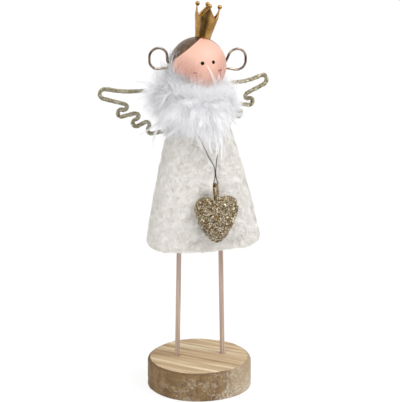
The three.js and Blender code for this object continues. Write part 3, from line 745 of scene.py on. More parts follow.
def skin_paint_build(shade):
    from_middle = tuple(-float(v) / HEAD_RADIUS for v in HEAD_MIDDLE)
    where = shade.place(scale=(1 / (HEAD_RADIUS * MM),) * 3, shift=from_middle)
    towards = lambda way: shade.vector("DOT_PRODUCT", where, tuple(float(v) for v in way))
    brush = shade.noise(60, 3)
    hair = (brush - 0.5) * 0.05 - 2
    for middle, edge in HAIR_CAPS:
        hair = hair.larger(towards(middle) - edge + (brush - 0.5) * 0.05)
    hair = hair.step(-0.01, 0.01)
    blush = towards(direction(-41, 2)).larger(towards(direction(49, 2))).step(0.80, 1.0)
    # Painted shade: the lower face is darker, as if lit from above.
    low = towards((0, 0, -1)).step(-0.6, 0.25)
    # Real blush on the cheeks and painted shade on the lower face share one darker tone.
    blush_and_shade = blush * 0.4 + low * 0.25 + (brush - 0.5) * 0.1
    face = blush_and_shade.mix(srgb(231, 184, 165), srgb(191, 136, 119))
    strokes = shade.noise((500, 120, 120), 4, 0.6, turn=0.5)
    tresses = strokes.ramp((0.3, srgb(56, 36, 22)), (0.7, srgb(110, 82, 57)))
    return {
        "Base_Color": hair.mix(face, tresses),
        "Roughness": 0.45 - hair * 0.15,
        "Normal": shade.bump(strokes * hair + hair * 0.5 + brush * 0.2, 0.15, 0.0002),
    }


skin_paint = finish("skin_paint", skin_paint_build, Specular_IOR_Level=0.35)
head_shape = skin(ball(HEAD_MIDDLE, HEAD_RADIUS, 64, 120))
piece("painted_head", head_shape, skin_paint, "figure", ["head_ball"])

# %% [markdown]
# The eyes are two drops of black paint, and the mouth is one thin brushed line with a short tick at
# each end, most of it behind the down of the collar. Made as thin raised shapes on the ball, they stay
# crisp at any distance.


# %% Eyes and mouth
def on_head(azimuth, elevation, lift):
    """Points on the ball or a little off it, by their directions."""
    return HEAD_MIDDLE + (HEAD_RADIUS + lift) * direction(azimuth, elevation)


def eye_drop(azimuth, elevation, radius):
    """A shallow dome on the ball: rings of shrinking radius that rise as the square root of what is
    left."""
    middle = direction(azimuth, elevation)
    sideways = unit(np.cross(UP, middle))
    upright = np.cross(middle, sideways)
    share = np.array([1.0, 0.92, 0.75, 0.5, 0.2])[:, None, None]
    turn = full_turn(28)[None, :, None]
    disc = radius * share * (np.cos(turn) * sideways + np.sin(turn) * upright)
    ray = unit(HEAD_RADIUS * middle + disc)
    return HEAD_MIDDLE + ray * (HEAD_RADIUS - 0.05 + 0.22 * np.sqrt(1 - share**2 * 0.98))


def paint_line(azimuths, elevations, width):
    """A thin round line just in the surface of the ball, thinner close to its ends."""
    route = spaced(smooth_through(on_head(azimuths, elevations, 0.0), 12), 0.4)
    share = np.linspace(-1, 1, len(route))
    return skin(carried(route, width / 2 * np.sqrt(1.02 - share**8), 8))


eye_tones = speckled(700, 2, srgb(10, 7, 7), srgb(26, 19, 17))
eye_paint = finish("eye_paint", eye_tones, Roughness=0.6, Specular_IOR_Level=0.2)
mouth_tones = speckled(700, 2, srgb(142, 62, 54), srgb(178, 88, 78))
mouth_paint = finish("mouth_paint", mouth_tones, Roughness=0.5)
for eye_name, eye_azimuth, eye_radius in (("left_eye", -8.8, 1.35), ("right_eye", 16, 1.3)):
    piece(eye_name, skin(eye_drop(eye_azimuth, 18.5, eye_radius)), eye_paint, "figure")
smile = paint_line(
    [-23, -22, -21, -11, 4, 20, 32, 33.5, 31], [-1, -13, -30, -46, -50, -46, -29, -11, 0.3], 0.55
)
tick_left = paint_line([-27.5, -23.2, -19], [0.3, -1.2, 0.1], 0.9)
tick_right = paint_line([25.5, 30.5, 37], [-0.8, -0.1, 0], 0.9)
mouth_shape = together(smile, tick_left, tick_right)
piece("painted_smile", mouth_shape, mouth_paint, "figure")

# %% [markdown]
# ## Bent wires
# Hair loops, wings and the eye of the heart are all wire bent round pegs: straight between two pegs and
# an arc round each. The straight parts touch each circle where its radius stands square to them, which
# fixes their direction.


# %% Wire route
def round_pegs(start, pegs, end, arc_step=0.3):
    """The taut route from start round pegs (out, up, radius, turn) to end. Turn is 1 for clockwise. The
    heading from one circle to the next is that of their centres plus the arcsine of the difference of
    their signed radii over their distance."""
    stops = [(*start, 0.0, 1), *pegs, (*end, 0.0, 1)]
    headings = []
    for (x0, y0, r0, s0), (x1, y1, r1, s1) in zip(stops, stops[1:]):
        apart = math.hypot(x1 - x0, y1 - y0)
        headings.append(math.atan2(y1 - y0, x1 - x0) + math.asin((s1 * r1 - s0 * r0) / apart))
    route = [np.array([start])]
    for (x, y, radius, turn), arrive, leave in zip(stops[1:-1], headings, headings[1:]):
        swing = ((arrive - leave) * turn) % (2 * math.pi)
        angle = arrive - turn * np.linspace(0, swing, max(3, int(swing * radius / arc_step)))
        arc = [x - turn * radius * np.sin(angle), y + turn * radius * np.cos(angle)]
        route.append(np.stack(arc, axis=1))
    return np.concatenate([*route, np.array([end])])


print("wire helper ready")

# %% [markdown]
# ## Hair loops
# A loop of polished brownish wire sticks out of the head on each side, both ends pushed into the wood.
# Each is an upright oval: the wire leaves the head, turns up sharply and goes round two pegs. The left
# one turns up further out.

# %% Hair loops
LOOP_WIRE = 0.9
LOOP_TURN = math.radians(-6)
LOOP_OUT, LOOP_PEG = 28, 6.3


def hair_loop(side):
    """The bent route in the plane of the loop, turned 6 degrees about the head's axis."""
    root, upper, lower = (19.9, -3.5, -6.3) if side < 0 else (18.7, -1.6, -4.4)
    ends = [(LOOP_OUT, 1.15, LOOP_PEG, 1), (LOOP_OUT, -1.15, LOOP_PEG, 1)]
    out, up = round_pegs((15, upper), [(root, upper + 1.8, 1.8, -1), *ends], (15, lower)).T
    across, back = side * out * math.cos(LOOP_TURN), side * out * math.sin(LOOP_TURN)
    return spaced(HEAD_MIDDLE + np.stack([across, back, 4.6 - side * 1.9 + up], axis=1), 0.4)


def brown_wire_build(shade):
    tarnish = shade.noise(220, 3)
    return {
        "Base_Color": tarnish.ramp((0.35, srgb(112, 95, 84)), (0.65, srgb(190, 172, 158))),
        "Roughness": 0.14 + tarnish * 0.2,
    }


brown_wire = finish("brown_wire", brown_wire_build, Metallic=1.0)
for loop_name, loop_side in (("left_hair_loop", -1), ("right_hair_loop", 1)):
    loop_shape = skin(carried(hair_loop(loop_side), LOOP_WIRE, 16))
    piece(loop_name + "_wire", loop_shape, brown_wire, "figure", [loop_name])

# %% [markdown]
# ## The crown
# A thin flared band with four upright hollow-sided points, each with a ball on it, stands askew on the
# head. The band is one closed sheet of rings: up the outside to a rim that rises and falls with the
# points, and down the inside.

# %% Crown shape
CROWN_FOOT, CROWN_TOP, CROWN_HEIGHT, CROWN_VALLEY, CROWN_WALL = 10.8, 16.6, 22.4, 14.4, 0.9
CROWN_SINK = 0.35
CROWN_BALL = 1.6


def turned(axis, angle):
    """The matrix of a turn about X, Y or Z, numbered 0, 1 and 2."""
    first, second = (axis + 1) % 3, (axis + 2) % 3
    matrix = np.eye(3)
    matrix[first, first] = matrix[second, second] = math.cos(angle)
    matrix[second, first], matrix[first, second] = math.sin(angle), -math.sin(angle)
    return matrix


def tilt(right, back):
    """A rotation that leans +Z to the right and to the back, in degrees."""
    return turned(1, math.radians(right)) @ turned(0, math.radians(-back))


def crown_band():
    """Rim height = valley + rise * (1 - distance from the nearest point) ** 1.45. Radius grows up to
    the valleys."""
    turn = full_turn(192)
    off = np.abs((turn + np.pi / 4) % (np.pi / 2) - np.pi / 4) / (np.pi / 4)
    rim = CROWN_VALLEY + (CROWN_HEIGHT - CROWN_VALLEY) * (1 - off) ** 1.45
    foot = -CROWN_SINK + math.sqrt(HEAD_RADIUS**2 - (CROWN_FOOT / 2) ** 2) - HEAD_RADIUS
    level = np.linspace(0, 1, 16)[:, None]
    height = foot + (rim - foot) * level
    flare = np.minimum(height / CROWN_VALLEY, 1)
    radius = CROWN_FOOT / 2 + (CROWN_TOP - CROWN_FOOT) / 2 * flare
    spot = lambda r, h: np.stack([r * np.cos(turn), r * np.sin(turn), h + 0 * turn], axis=-1)
    bead = np.exp(-(((height - foot) - 1) / 0.8) ** 2)
    lip = 0.12 * np.exp(-((level - 1) * 25) ** 2) + 0.25 * bead
    return np.concatenate([spot(radius + lip, height), spot(radius - CROWN_WALL, height)[::-1]])


crown_shapes = [skin(crown_band(), closed=True)]
for quarter in range(4):
    reach = (CROWN_TOP - CROWN_WALL) / 2
    tip = reach * spoke(quarter * math.pi / 2) + CROWN_HEIGHT * UP
    crown_shapes.append(skin(ball(tip, CROWN_BALL, 12, 22)))
crown_points, crown_faces = together(*crown_shapes)
crown_seat = HEAD_MIDDLE + tilt(13.2, 6.5) @ [0, 0, HEAD_RADIUS]
crown_stand = tilt(12.8, 5) @ turned(2, math.radians(-15 - 90))
crown_points = crown_points @ crown_stand.T + crown_seat

# %% [markdown]
# The gold is antique: its tone drifts slowly between pale and brown, and a fine grain breaks the shine.


# %% Crown
def antique_gold_build(shade):
    patina = shade.noise((160, 160, 110), 4, 0.6)
    fine = shade.noise(900, 3)
    tones = [(0.3, srgb(132, 95, 50)), (0.5, srgb(174, 132, 75)), (0.7, srgb(216, 178, 120))]
    return {
        "Base_Color": (patina * 0.8 + fine * 0.2).ramp(*tones),
        "Roughness": 0.22 + fine * 0.16,
        "Normal": shade.bump(fine, 0.12, 0.0002),
    }


antique_gold = finish("antique_gold", antique_gold_build, Metallic=1.0)
crown_shape = (crown_points, crown_faces)
piece("gold_crown", crown_shape, antique_gold, "figure", ["crown"])

# %% [markdown]
# ## Glitter
# Wings and heart are rolled in champagne glitter. Paint alone looks flat, so the grains are real:
# thousands of small six-sided flakes, each turned its own way, over a dull glue coat. Each flake
# carries its own tone in its UV map.


# %% Glitter helper
def flakes(name, place, outward, size, tumble, seed, material, body):
    """One piece of hexagons, one at each place: a random direction, tumbled from the surface's own, and
    two axes square to it."""
    chance = np.random.default_rng(seed)
    count = len(place)
    facing = unit(outward + tumble * chance.normal(size=(count, 3)))
    first = unit(np.cross(facing, chance.normal(size=(count, 3))))
    second = np.cross(facing, first)
    breadth = size * chance.uniform(0.7, 1.25, (count, 1, 1))
    turn = full_turn(6)[None, :, None]
    ring = np.cos(turn) * first[:, None] + np.sin(turn) * second[:, None]
    rim = place[:, None] + breadth * ring
    index = np.arange(count * 6).reshape(count, 6)
    tone = np.repeat(chance.uniform(0, 1, count), 6)
    uv = np.stack([tone, np.tile(np.linspace(0.1, 0.9, 6), count)], axis=1)
    piece(name, (rim.reshape(-1, 3), [index]), material, body, smooth=False, uv=uv)


def flake_build(dark, middle, pale):
    def build(shade):
        tone = shade.own_map()[0]
        tones = [(0.0, dark), (0.4, middle), (0.75, pale), (0.9, srgb(252, 248, 236))]
        return {"Base_Color": tone.ramp(*tones), "Roughness": 0.22 + tone * 0.2}

    return build


def glue_build(dark, pale):
    def build(shade):
        grains = shade.node("ShaderNodeTexVoronoi", output="Color", Vector=shade.place(), Scale=1600)
        grey = shade.node("ShaderNodeRGBToBW", Color=grains)
        tone = grey.ramp((0.2, dark), (0.8, pale))
        return {"Base_Color": tone, "Normal": shade.bump(grey, 0.6, 0.0003)}

    return build


def glitter(name, flake_tones, glue_tones):
    """The two finishes of one kind of glitter: its flakes and the glue coat under them."""
    flake_finish = finish(name + "_flakes", flake_build(*flake_tones), Metallic=0.85)
    glue_finish = finish(name + "_coat", glue_build(*glue_tones), Metallic=0.4, Roughness=0.5)
    return flake_finish, glue_finish


wing_flakes, wing_glue = glitter(
    "wing_glitter",
    [srgb(92, 82, 54), srgb(197, 188, 154), srgb(248, 243, 224)],
    [srgb(94, 84, 58), srgb(172, 162, 130)],
)
heart_flakes, heart_glue = glitter(
    "heart_glitter",
    [srgb(66, 46, 22), srgb(168, 144, 102), srgb(250, 243, 218)],
    [srgb(104, 78, 40), srgb(164, 134, 84)],
)
print("glitter:", wing_flakes.name, heart_flakes.name)

# %% [markdown]
# ## The wings
# Each wing is one wire: out along the top, round the tip, and back in three scallops. Both ends turn
# forward into the back of the body. The route is the same for both wings, mirrored.

# %% Wings
WING_PEGS = [
    (20.5, 2, 6.6, 1),
    (45, 73, 66, -1),
    (61.9, 5.2, 3.6, 1),
    (48.5, -4.2, 2.1, -1),
    (50.4, -8.8, 2.6, 1),
    (40.6, -11, 2.1, -1),
    (40, -15.9, 2.5, 1),
    (32.9, -17.3, 2.1, -1),
    (29.4, -21.2, 2.6, 1),
]
WING_SWEEP = math.radians(18)
WING_BACK = 14
WING_WIRE = 1.32


def wing_root(tip, ahead):
    """A quarter-turn-like end: from the tip on along its heading and then straight to the front."""
    corner = tip + unit(ahead) * 2.2
    share = np.linspace(0, 1, 9)[1:, None]
    front = corner + [0, -2.6, 0]
    bend = (1 - share) ** 2 * tip + 2 * share * (1 - share) * corner + share**2 * front
    return np.concatenate([bend, bend[-1:] + [[0, -9, 0]]])


def wing_route(side):
    """The flat route swept back 18 degrees, with short curved ends that turn forward into the body."""
    out, up = round_pegs((11, -4.2), WING_PEGS, (11, -20)).T
    x, y = side * out * math.cos(WING_SWEEP), WING_BACK + out * math.sin(WING_SWEEP)
    middle = np.stack([x, y, CORE_TOP + up], axis=1)
    first = wing_root(middle[0], middle[0] - middle[1])[::-1]
    last = wing_root(middle[-1], middle[-1] - middle[-2])
    return spaced(np.concatenate([first, middle, last]), 0.5)


for wing_name, wing_side in (("left_wing", -1), ("right_wing", 1)):
    wing_path = wing_route(wing_side)
    wing_radius = WING_WIRE + 0.1 * waves(wing_path, 6, 21 + wing_side)
    wing_grid = carried(wing_path, wing_radius, 18)
    piece(wing_name + "_wire", skin(wing_grid), wing_glue, "figure", [wing_name])
    place, outward = scatter(wing_grid, 7000, 30 + wing_side)
    flakes(
        wing_name + "_glitter", place, outward, 0.38, 0.55, 40 + wing_side,
        wing_flakes, "figure",
    )

# %% [markdown]
# ## The heart
# The heart is a puffed form under coarse glitter. Its outline is a smooth curve through a few points,
# and copies of it shrink towards the middle as they rise to the front and the back, like a pillow.

# %% Heart shape
HEART_WIDTH, HEART_HEIGHT, HEART_THICKNESS, HEART_NOTCH = 30.6, 32.4, 9.4, 3
HEART_TOP = DRESS_TOP - 63.9
HEART_TURN = math.radians(-9)
HEART_CLEAR = 1.4
HEART_OUTLINE = [
    [0, -1], [0.36, -0.905], [0.6, -0.75], [0.83, -0.53],
    [1, -0.25], [0.87, -0.07], [0.54, 0], [0.2, -0.035],
]
DRESS_SLOPE = math.atan((CORE_DEPTHS[0] - CORE_DEPTHS[1]) / 2 / (CORE_TOP - CORE_BOTTOM))
heart_off = (HEART_CLEAR + HEART_THICKNESS / 2) / math.cos(DRESS_SLOPE)
heart_place = np.array([HEART_X, -float(dress_half(HEART_TOP)[1]) - heart_off, HEART_TOP])
heart_lean = turned(0, -DRESS_SLOPE) @ turned(2, HEART_TURN)


def heart_surface():
    """Rings of the outline, shrunk by cos ** 0.62 of an angle whose sine gives the height off the
    middle plane."""
    half = np.array(HEART_OUTLINE)
    dip = [[0, -HEART_NOTCH / HEART_HEIGHT]]
    whole = np.concatenate([half, dip, half[:0:-1] * [-1, 1]]) * [HEART_WIDTH / 2, HEART_HEIGHT]
    loop = np.concatenate([whole[-2:], whole, whole[:3]])
    curve = smooth_through(np.insert(loop, 1, 0, axis=1), 20)[40:-40]
    outline = spaced(curve, 0.7)[:-1]
    middle = np.array([0, 0, -0.42 * HEART_HEIGHT])
    lean = np.radians(np.linspace(-88, 88, 33))[:, None, None]
    shrink = np.cos(lean) ** 0.62
    depth = -HEART_THICKNESS / 2 * np.sin(lean) * np.array([0, 1, 0])
    return middle + (outline - middle) * shrink + depth


heart_grid = heart_surface() @ heart_lean.T + heart_place
grit = 0.12 * waves(heart_grid, 2.2, 51)[..., None]
heart_grid = heart_grid + grit * unit(heart_grid - heart_place)
piece("glitter_heart", skin(heart_grid), heart_glue, "pendant", ["heart"])
place, outward = scatter(heart_grid, 9000, 52)
flakes(
    "heart_glitter", place, outward, 0.52, 0.75, 53, heart_flakes, "pendant"
)

# %% [markdown]
# A wire eye stands in the dip of the heart, both ends pushed down into it. It is glittered too, but
# not where the thread runs through it.

# %% Eye of the heart
EYE_WIRE, EYE_PEG, EYE_RISE = 0.86, 2.5, 9.5
EYE_TURN = math.radians(-20)


def heart_eye_route():
    """A wire round a 5 mm peg, in a plane 20 degrees off square to the heart."""
    ends = [(side * 1.15, -EYE_RISE - 5) for side in (-1, 1)]
    out, up = round_pegs(ends[0], [(0, 0, EYE_PEG, 1)], ends[1]).T
    across, back = out * math.sin(EYE_TURN), out * math.cos(EYE_TURN)
    upright = np.stack([across, back, up - HEART_NOTCH + EYE_RISE], axis=1)
    return spaced(upright, 0.35) @ heart_lean.T + heart_place


eye_grid = carried(heart_eye_route(), EYE_WIRE, 14)
piece("heart_eye_wire", skin(eye_grid), heart_glue, "pendant", ["heart_eye"])
place, outward = scatter(eye_grid, 700, 54)
free = np.linalg.norm(place - EYE_TOP, axis=1) > 2.4
flakes(
    "heart_eye_glitter", place[free], outward[free], 0.36, 0.5, 55,
    heart_flakes, "pendant",
)

# %% [markdown]
# ## The plush dress
# The dress is a sleeve of short curly plush. Under the pile lies a lumpy backing, which closes the
# form. The pile itself is made of real strands: each stands on the backing, lies over along a slowly
# swirling direction and curls at the tip. Neighbours share the same swirl, which gives the soft locks
# of the real fabric.

# %% Dress backing
HEM_ROUND = 3.6
HEM_MIDDLE = HEM + HEM_ROUND
BACKING_SINK = 2.2


def dress_surface(sink):
    """Rings from inside the hem, round it, up the squarish cone and over the shoulders to the neck.
    Each row is a level on the cone, an inset from it, and a height."""
    turn = full_turn(160)
    rows = [(HEM_MIDDLE, PLUSH - 0.6, HEM_MIDDLE + 3.0), (HEM_MIDDLE, PLUSH - 0.8, HEM_MIDDLE)]
    for lean in np.radians([200, 225, 250, 270, 290, 315, 340]):
        rows.append((HEM_MIDDLE, 3.0 - 2.8 * math.cos(lean), HEM_MIDDLE + HEM_ROUND * math.sin(lean)))
    rows += [(z, 0.0, z) for z in np.linspace(HEM_MIDDLE + 0.5, SHOULDER, 60)]
    for lean in np.radians([20, 40, 60, 75, 90]):
        inset = SHOULDER_ROUND * (1 - math.cos(lean))
        rows.append((SHOULDER, inset, SHOULDER + SHOULDER_ROUND * math.sin(lean)))
    rows += [(SHOULDER, 8.0, DRESS_TOP), (SHOULDER, 10.0, DRESS_TOP)]
    level, inset, height = (np.array(v)[:, None] for v in zip(*rows))
    width, depth = dress_half(level)
    x, y = squarish(turn, width - inset - sink, depth - inset - sink)
    return np.stack([body_middle(level) + x, y, height + 0 * turn], axis=-1)


backing = dress_surface(BACKING_SINK)
lumps = 0.3 * waves(backing, 11, 61) + 0.2 * waves(backing, 5, 62)
axis_line = np.stack([body_middle(backing[..., 2]), 0 * lumps, backing[..., 2]], axis=-1)
swell = unit(backing - axis_line + 1e-9)
backing = backing + lumps[..., None] * swell * (1 - 0.6 * np.abs(swell[..., :1]))

knit_tones = speckled(900, 3, srgb(240, 236, 229), srgb(251, 249, 245))
plush_backing = finish("plush_backing", knit_tones, Roughness=0.95)
dress_nodes = ["plush_dress", "body_core"]
dress = piece("dress_backing", skin(backing), plush_backing, "figure", dress_nodes)

# %% [markdown]
# A strand is a narrow ribbon: a few points along its spine, with two corners at each. Thousands of
# spines are worked out as one array. The UV map stores a tone for each strand and the distance along
# it, so that the finish can be darker at the roots, as painted shade deep in the pile.


# %% Strand helper
def strands(name, spines, facing, width, seed, material):
    """One piece of ribbons along spines (strands, points, 3): each point gets two corners, half a width
    to either side, narrowing to the tip. Each ribbon's flat side looks along facing, strayed a
    little."""
    chance = np.random.default_rng(seed)
    count, steps, _ = spines.shape
    ahead = unit(np.gradient(spines, axis=1) + 1e-9)
    facing = facing + 0.2 * chance.normal(size=(count, 3))
    sideways = unit(np.cross(ahead, facing[:, None]) + 1e-9)
    along = np.linspace(0, 1, steps)
    half = 0.5 * width * (1 - 0.75 * along**1.5)[None, :, None]
    corners = np.stack([spines - half * sideways, spines + half * sideways], axis=2)
    index = np.arange(count * steps * 2).reshape(count, steps, 2)
    near, far = index[:, :-1], index[:, 1:]
    quads = np.stack([near[..., 0], near[..., 1], far[..., 1], far[..., 0]], axis=-1)
    tone = np.broadcast_to(chance.uniform(0.02, 0.98, (count, 1, 1)), (count, steps, 2))
    uv = np.stack([tone, np.broadcast_to(along[None, :, None], tone.shape)], axis=-1)
    shape = (corners.reshape(-1, 3), [quads.reshape(-1, 4)])
    return piece(name, shape, material, "figure", uv=uv.reshape(-1, 2))


def strand_build(root, tip, spread, patches):
    """Builds a finish from a root's to a tip's colour; the darker root is painted shade in the pile.
    Spread is how much strands differ, and patches how much a slow noise darkens them."""
    def build(shade):
        tone, along, _ = shade.own_map()
        level = (along * 0.8 + (tone - 0.5) * spread + 0.1).step(0.0, 0.75)
        patch = shade.noise(240, 2)
        return {"Base_Color": (level - (1 - patch.step(0.4, 0.62)) * patches).mix(root, tip)}

    return build


print("strand helper ready")

# %% [markdown]
# The heart swings just in front of the pile, so a map of all the places it sweeps is made first, and
# strands that would reach into them are laid back.

# %% Room for the heart
SWING_AXIS = unit(np.array([-0.1564, -0.98429, 0.08203]))
SWING_LIMIT = 25
SWEEP_CORNER, SWEEP_CELL, SWEEP_CELLS = np.array([-45, 100]), 1.5, (70, 50)


def sweep_cells(points):
    """The cell of the map over X and Z that each point is in."""
    return np.round((points[..., ::2] - SWEEP_CORNER) / SWEEP_CELL).astype(int)


def swept_heart():
    """How far back the heart reaches at any angle of its swing: the largest Y in each cell of the map.
    A point turns about the axis k as v cos a + (k x v) sin a + k (k . v)(1 - cos a)."""
    reach = np.full(SWEEP_CELLS, -np.inf)
    arm = heart_grid.reshape(-1, 3) - EYE_TOP
    square = np.cross(SWING_AXIS, arm)
    along = SWING_AXIS * (arm @ SWING_AXIS)[:, None]
    for swing in np.radians(np.linspace(-SWING_LIMIT, SWING_LIMIT, 31)):
        cosine, sine = math.cos(swing), math.sin(swing)
        swung = arm * cosine + square * sine + along * (1 - cosine) + EYE_TOP
        np.maximum.at(reach, tuple(sweep_cells(swung).T), swung[:, 1])
    return reach


heart_reach = swept_heart()
print("cells that the heart sweeps:", int(np.isfinite(heart_reach).sum()))

# %% [markdown]
# The pile is smoother and combed down at the sides of the dress, shorter at the hem, and pressed flat
# along the thread, which lies in it.

# %% Dress pile
PILE_RISE, PILE_SLIDE, PILE_WIDTH = 1.9, 3.2, 0.42
PILE_SHARES, PILE_COUNT = 4, 24000
HEART_ROOM = 0.8


def drift(points, size, seed):
    """A smooth random vector field over space: three fields of waves."""
    return np.stack([waves(points, size, seed + i) for i in range(3)], axis=1)


def pile_spines(count, seed):
    """Each strand rises along the surface's normal and slides along a swirling tangent that leans
    downwards; both swirl and height change slowly from place to place. Returns spines and the way that
    each strand faces."""
    chance = np.random.default_rng(seed)
    root, outward = scatter(backing[2:-2], count, seed)
    front = 1 - 0.85 * np.abs(outward[:, :1])
    over_hem = (root[:, 2] - HEM) / 8
    swirl = drift(root, 10, 71) * front * np.clip(over_hem, 0.3, 1)[:, None]
    swirl += 0.3 * chance.normal(size=(count, 3)) - UP * (1.1 - 0.7 * front)
    swirl = unit(swirl - outward * (swirl * outward).sum(axis=1, keepdims=True))
    twist = 0.8 * waves(root, 8, 74) + 0.5 * chance.normal(size=count)
    curl = np.cross(outward, swirl) * twist[:, None] * front
    to_thread = root[:, None, ::2] - thread_route[None, ::5, ::2]
    beside = np.linalg.norm(to_thread, axis=-1).min(axis=1)
    pressed = np.where(root[:, 1] < -5, np.clip((beside - 0.8) / 3.2, 0.12, 1), 1)
    billow = (0.4 * waves(root, 7, 75) + 0.4 * waves(root, 3.6, 76)) * front[:, 0]
    rise = (PILE_RISE + billow + 0.25 * chance.normal(size=count)) * pressed
    least = 0.45 + 0.25 * waves(root, 14, 77) + 0.25 * np.clip(root[:, 0] / 25, 0, 1)
    slide = (PILE_SLIDE + 0.7 * chance.normal(size=count)) * np.clip(over_hem, least, 1)
    s = np.linspace(0, 1, 5)[None, :, None]
    rise, slide = rise[:, None, None], slide[:, None, None]
    spot, away, lay, bend = (v[:, None] for v in (root - 0.3 * outward, outward, swirl, curl))
    spines = spot + away * rise * (1.5 * s - 0.7 * s**2) + lay * slide * s**1.5 + bend * s**2
    column, row = np.moveaxis(np.clip(sweep_cells(spines), 0, np.array(SWEEP_CELLS) - 1), -1, 0)
    spines[..., 1] = np.maximum(spines[..., 1], heart_reach[column, row] + HEART_ROOM)
    return spines, outward + [0, 0, 0.5]


# The darker root colour is painted shade deep in the pile.
pile_tones = strand_build(srgb(232, 227, 218), srgb(253, 251, 247), 0.3, 0.42)
plush_pile = finish("plush_pile", pile_tones, Roughness=0.9, Sheen_Weight=0.2)
for share in range(PILE_SHARES):
    spines, facing = pile_spines(PILE_COUNT, 80 + share)
    pile_name = f"dress_pile_{share + 1}"
    strands(pile_name, spines, facing, PILE_WIDTH, 90 + share, plush_pile)

# %% [markdown]
# ## The down collar
# The collar is marabou: a cord round the neck with many small downy plumes on it. They cover the chin,
# hang over the front of the dress and stand out furthest on the left. A soft inner ring keeps the neck
# hidden. Where down would run into the head or the dress, its points are pushed back out.

# %% Collar ring
RING_REACH, RING_RISE, RING_GAP = 10, 12, 0.6


def cord(turn):
    """The cord round the neck: an oval, drawn to the left, higher on the left and lower in front."""
    front = np.maximum(0, -np.sin(turn))
    left = np.maximum(0, -np.cos(turn))
    reach = np.where(np.sin(turn) < 0, 15.0, 12.0)
    height = DRESS_TOP - 1 - front**2 + 2.5 * left**2
    return np.stack([np.cos(turn) * 16 - 2, np.sin(turn) * reach, height], axis=-1)


def keep_out(points, gap):
    """Pushes points out of the head's ball and out of the squarish cone of the dress."""
    gap = np.broadcast_to(gap, points.shape[:-1])
    from_head = points - HEAD_MIDDLE
    far = np.linalg.norm(from_head, axis=-1, keepdims=True)
    push = np.maximum(1, (HEAD_RADIUS + gap[..., None]) / np.maximum(far, 1e-6))
    points = HEAD_MIDDLE + from_head * push
    z = points[..., 2]
    level = np.minimum(z, SHOULDER)
    width, depth = dress_half(level)
    middle = body_middle(level)
    x, y = points[..., 0] - middle, points[..., 1]
    across, deep = np.abs(x / (width + gap)), np.abs(y / (depth + gap))
    fill = (across**SQUARENESS + deep**SQUARENESS) ** (1 / SQUARENESS)
    shoulder = 1 - np.maximum(0, z - SHOULDER) / 40
    push = np.where(z < DRESS_TOP, np.maximum(1, shoulder / np.maximum(fill, 0.3)), 1)
    return np.stack([middle + x * push, y * push, z], axis=-1)


collar_turn = full_turn(96)
section_turn = full_turn(24)[:, None, None]
ring_out = RING_REACH * np.cos(section_turn) * spoke(collar_turn)
ring_up = RING_RISE * np.sin(section_turn) * UP
collar_shape = skin(keep_out(cord(collar_turn) + ring_out + ring_up, RING_GAP), closed=True)

# The core is a little greyer than the barbs: painted shade inside the down.
shaded_core_tones = speckled(400, 4, srgb(236, 236, 240), srgb(247, 247, 250), (0.8, 0.002))
down_core = finish("down_core", shaded_core_tones, Roughness=0.95)
collar_nodes = ["down_collar", "neck_dowel"]
collar = piece("collar_core", collar_shape, down_core, "figure", collar_nodes)

# %% [markdown]
# A plume is a short curved shaft with barbs to both sides, like a small fern. The plumes lie along the
# collar's round section as hair lies on a head: those on top flow up over the chin and the others flow
# down and outwards. All the barbs of all the plumes are worked out together, as one array of plumes by
# barbs by points.


# %% Collar plumes
def collar_section(count, chance):
    """Random places round the cord: the turn, the direction outwards from the cord, the direction over
    the section towards the top, the share of flow downwards, and the size of the down there."""
    turn = chance.uniform(0, 2 * np.pi, count)
    lean = chance.uniform(-1.7, 1.8, count)
    away = spoke(turn)
    cosine, sine = np.cos(lean)[:, None], np.sin(lean)[:, None]
    left, right = np.maximum(0, -np.cos(turn)), np.maximum(0, np.cos(turn))
    flow = np.maximum(np.tanh(2.2 * (1.15 - 0.25 * left - lean)), 0.8 * left - 1)[:, None]
    under, above = np.maximum(0, -np.sin(lean)), np.maximum(0, np.sin(lean))
    front_left = np.maximum(0, np.cos(turn + 2.4)) ** 2
    chin = np.maximum(0, np.cos(turn + 1.45)) ** 4
    size = 1 + left**2 * (0.5 * above + 0.45 * under) - 0.15 * right - 0.3 * chin * above
    size = size - (0.25 * right + 0.2 * front_left) * under
    return turn, away * cosine + UP * sine, UP * cosine - away * sine, flow, size[:, None]


def bowed(root, length, heading, bend, s):
    """Points along curved lines, one row for each: root + length * (heading * s + bend * s ** 2)."""
    s = s[None, :, None]
    return root[:, None] + length[:, None] * (heading[:, None] * s + bend[:, None] * s**2)


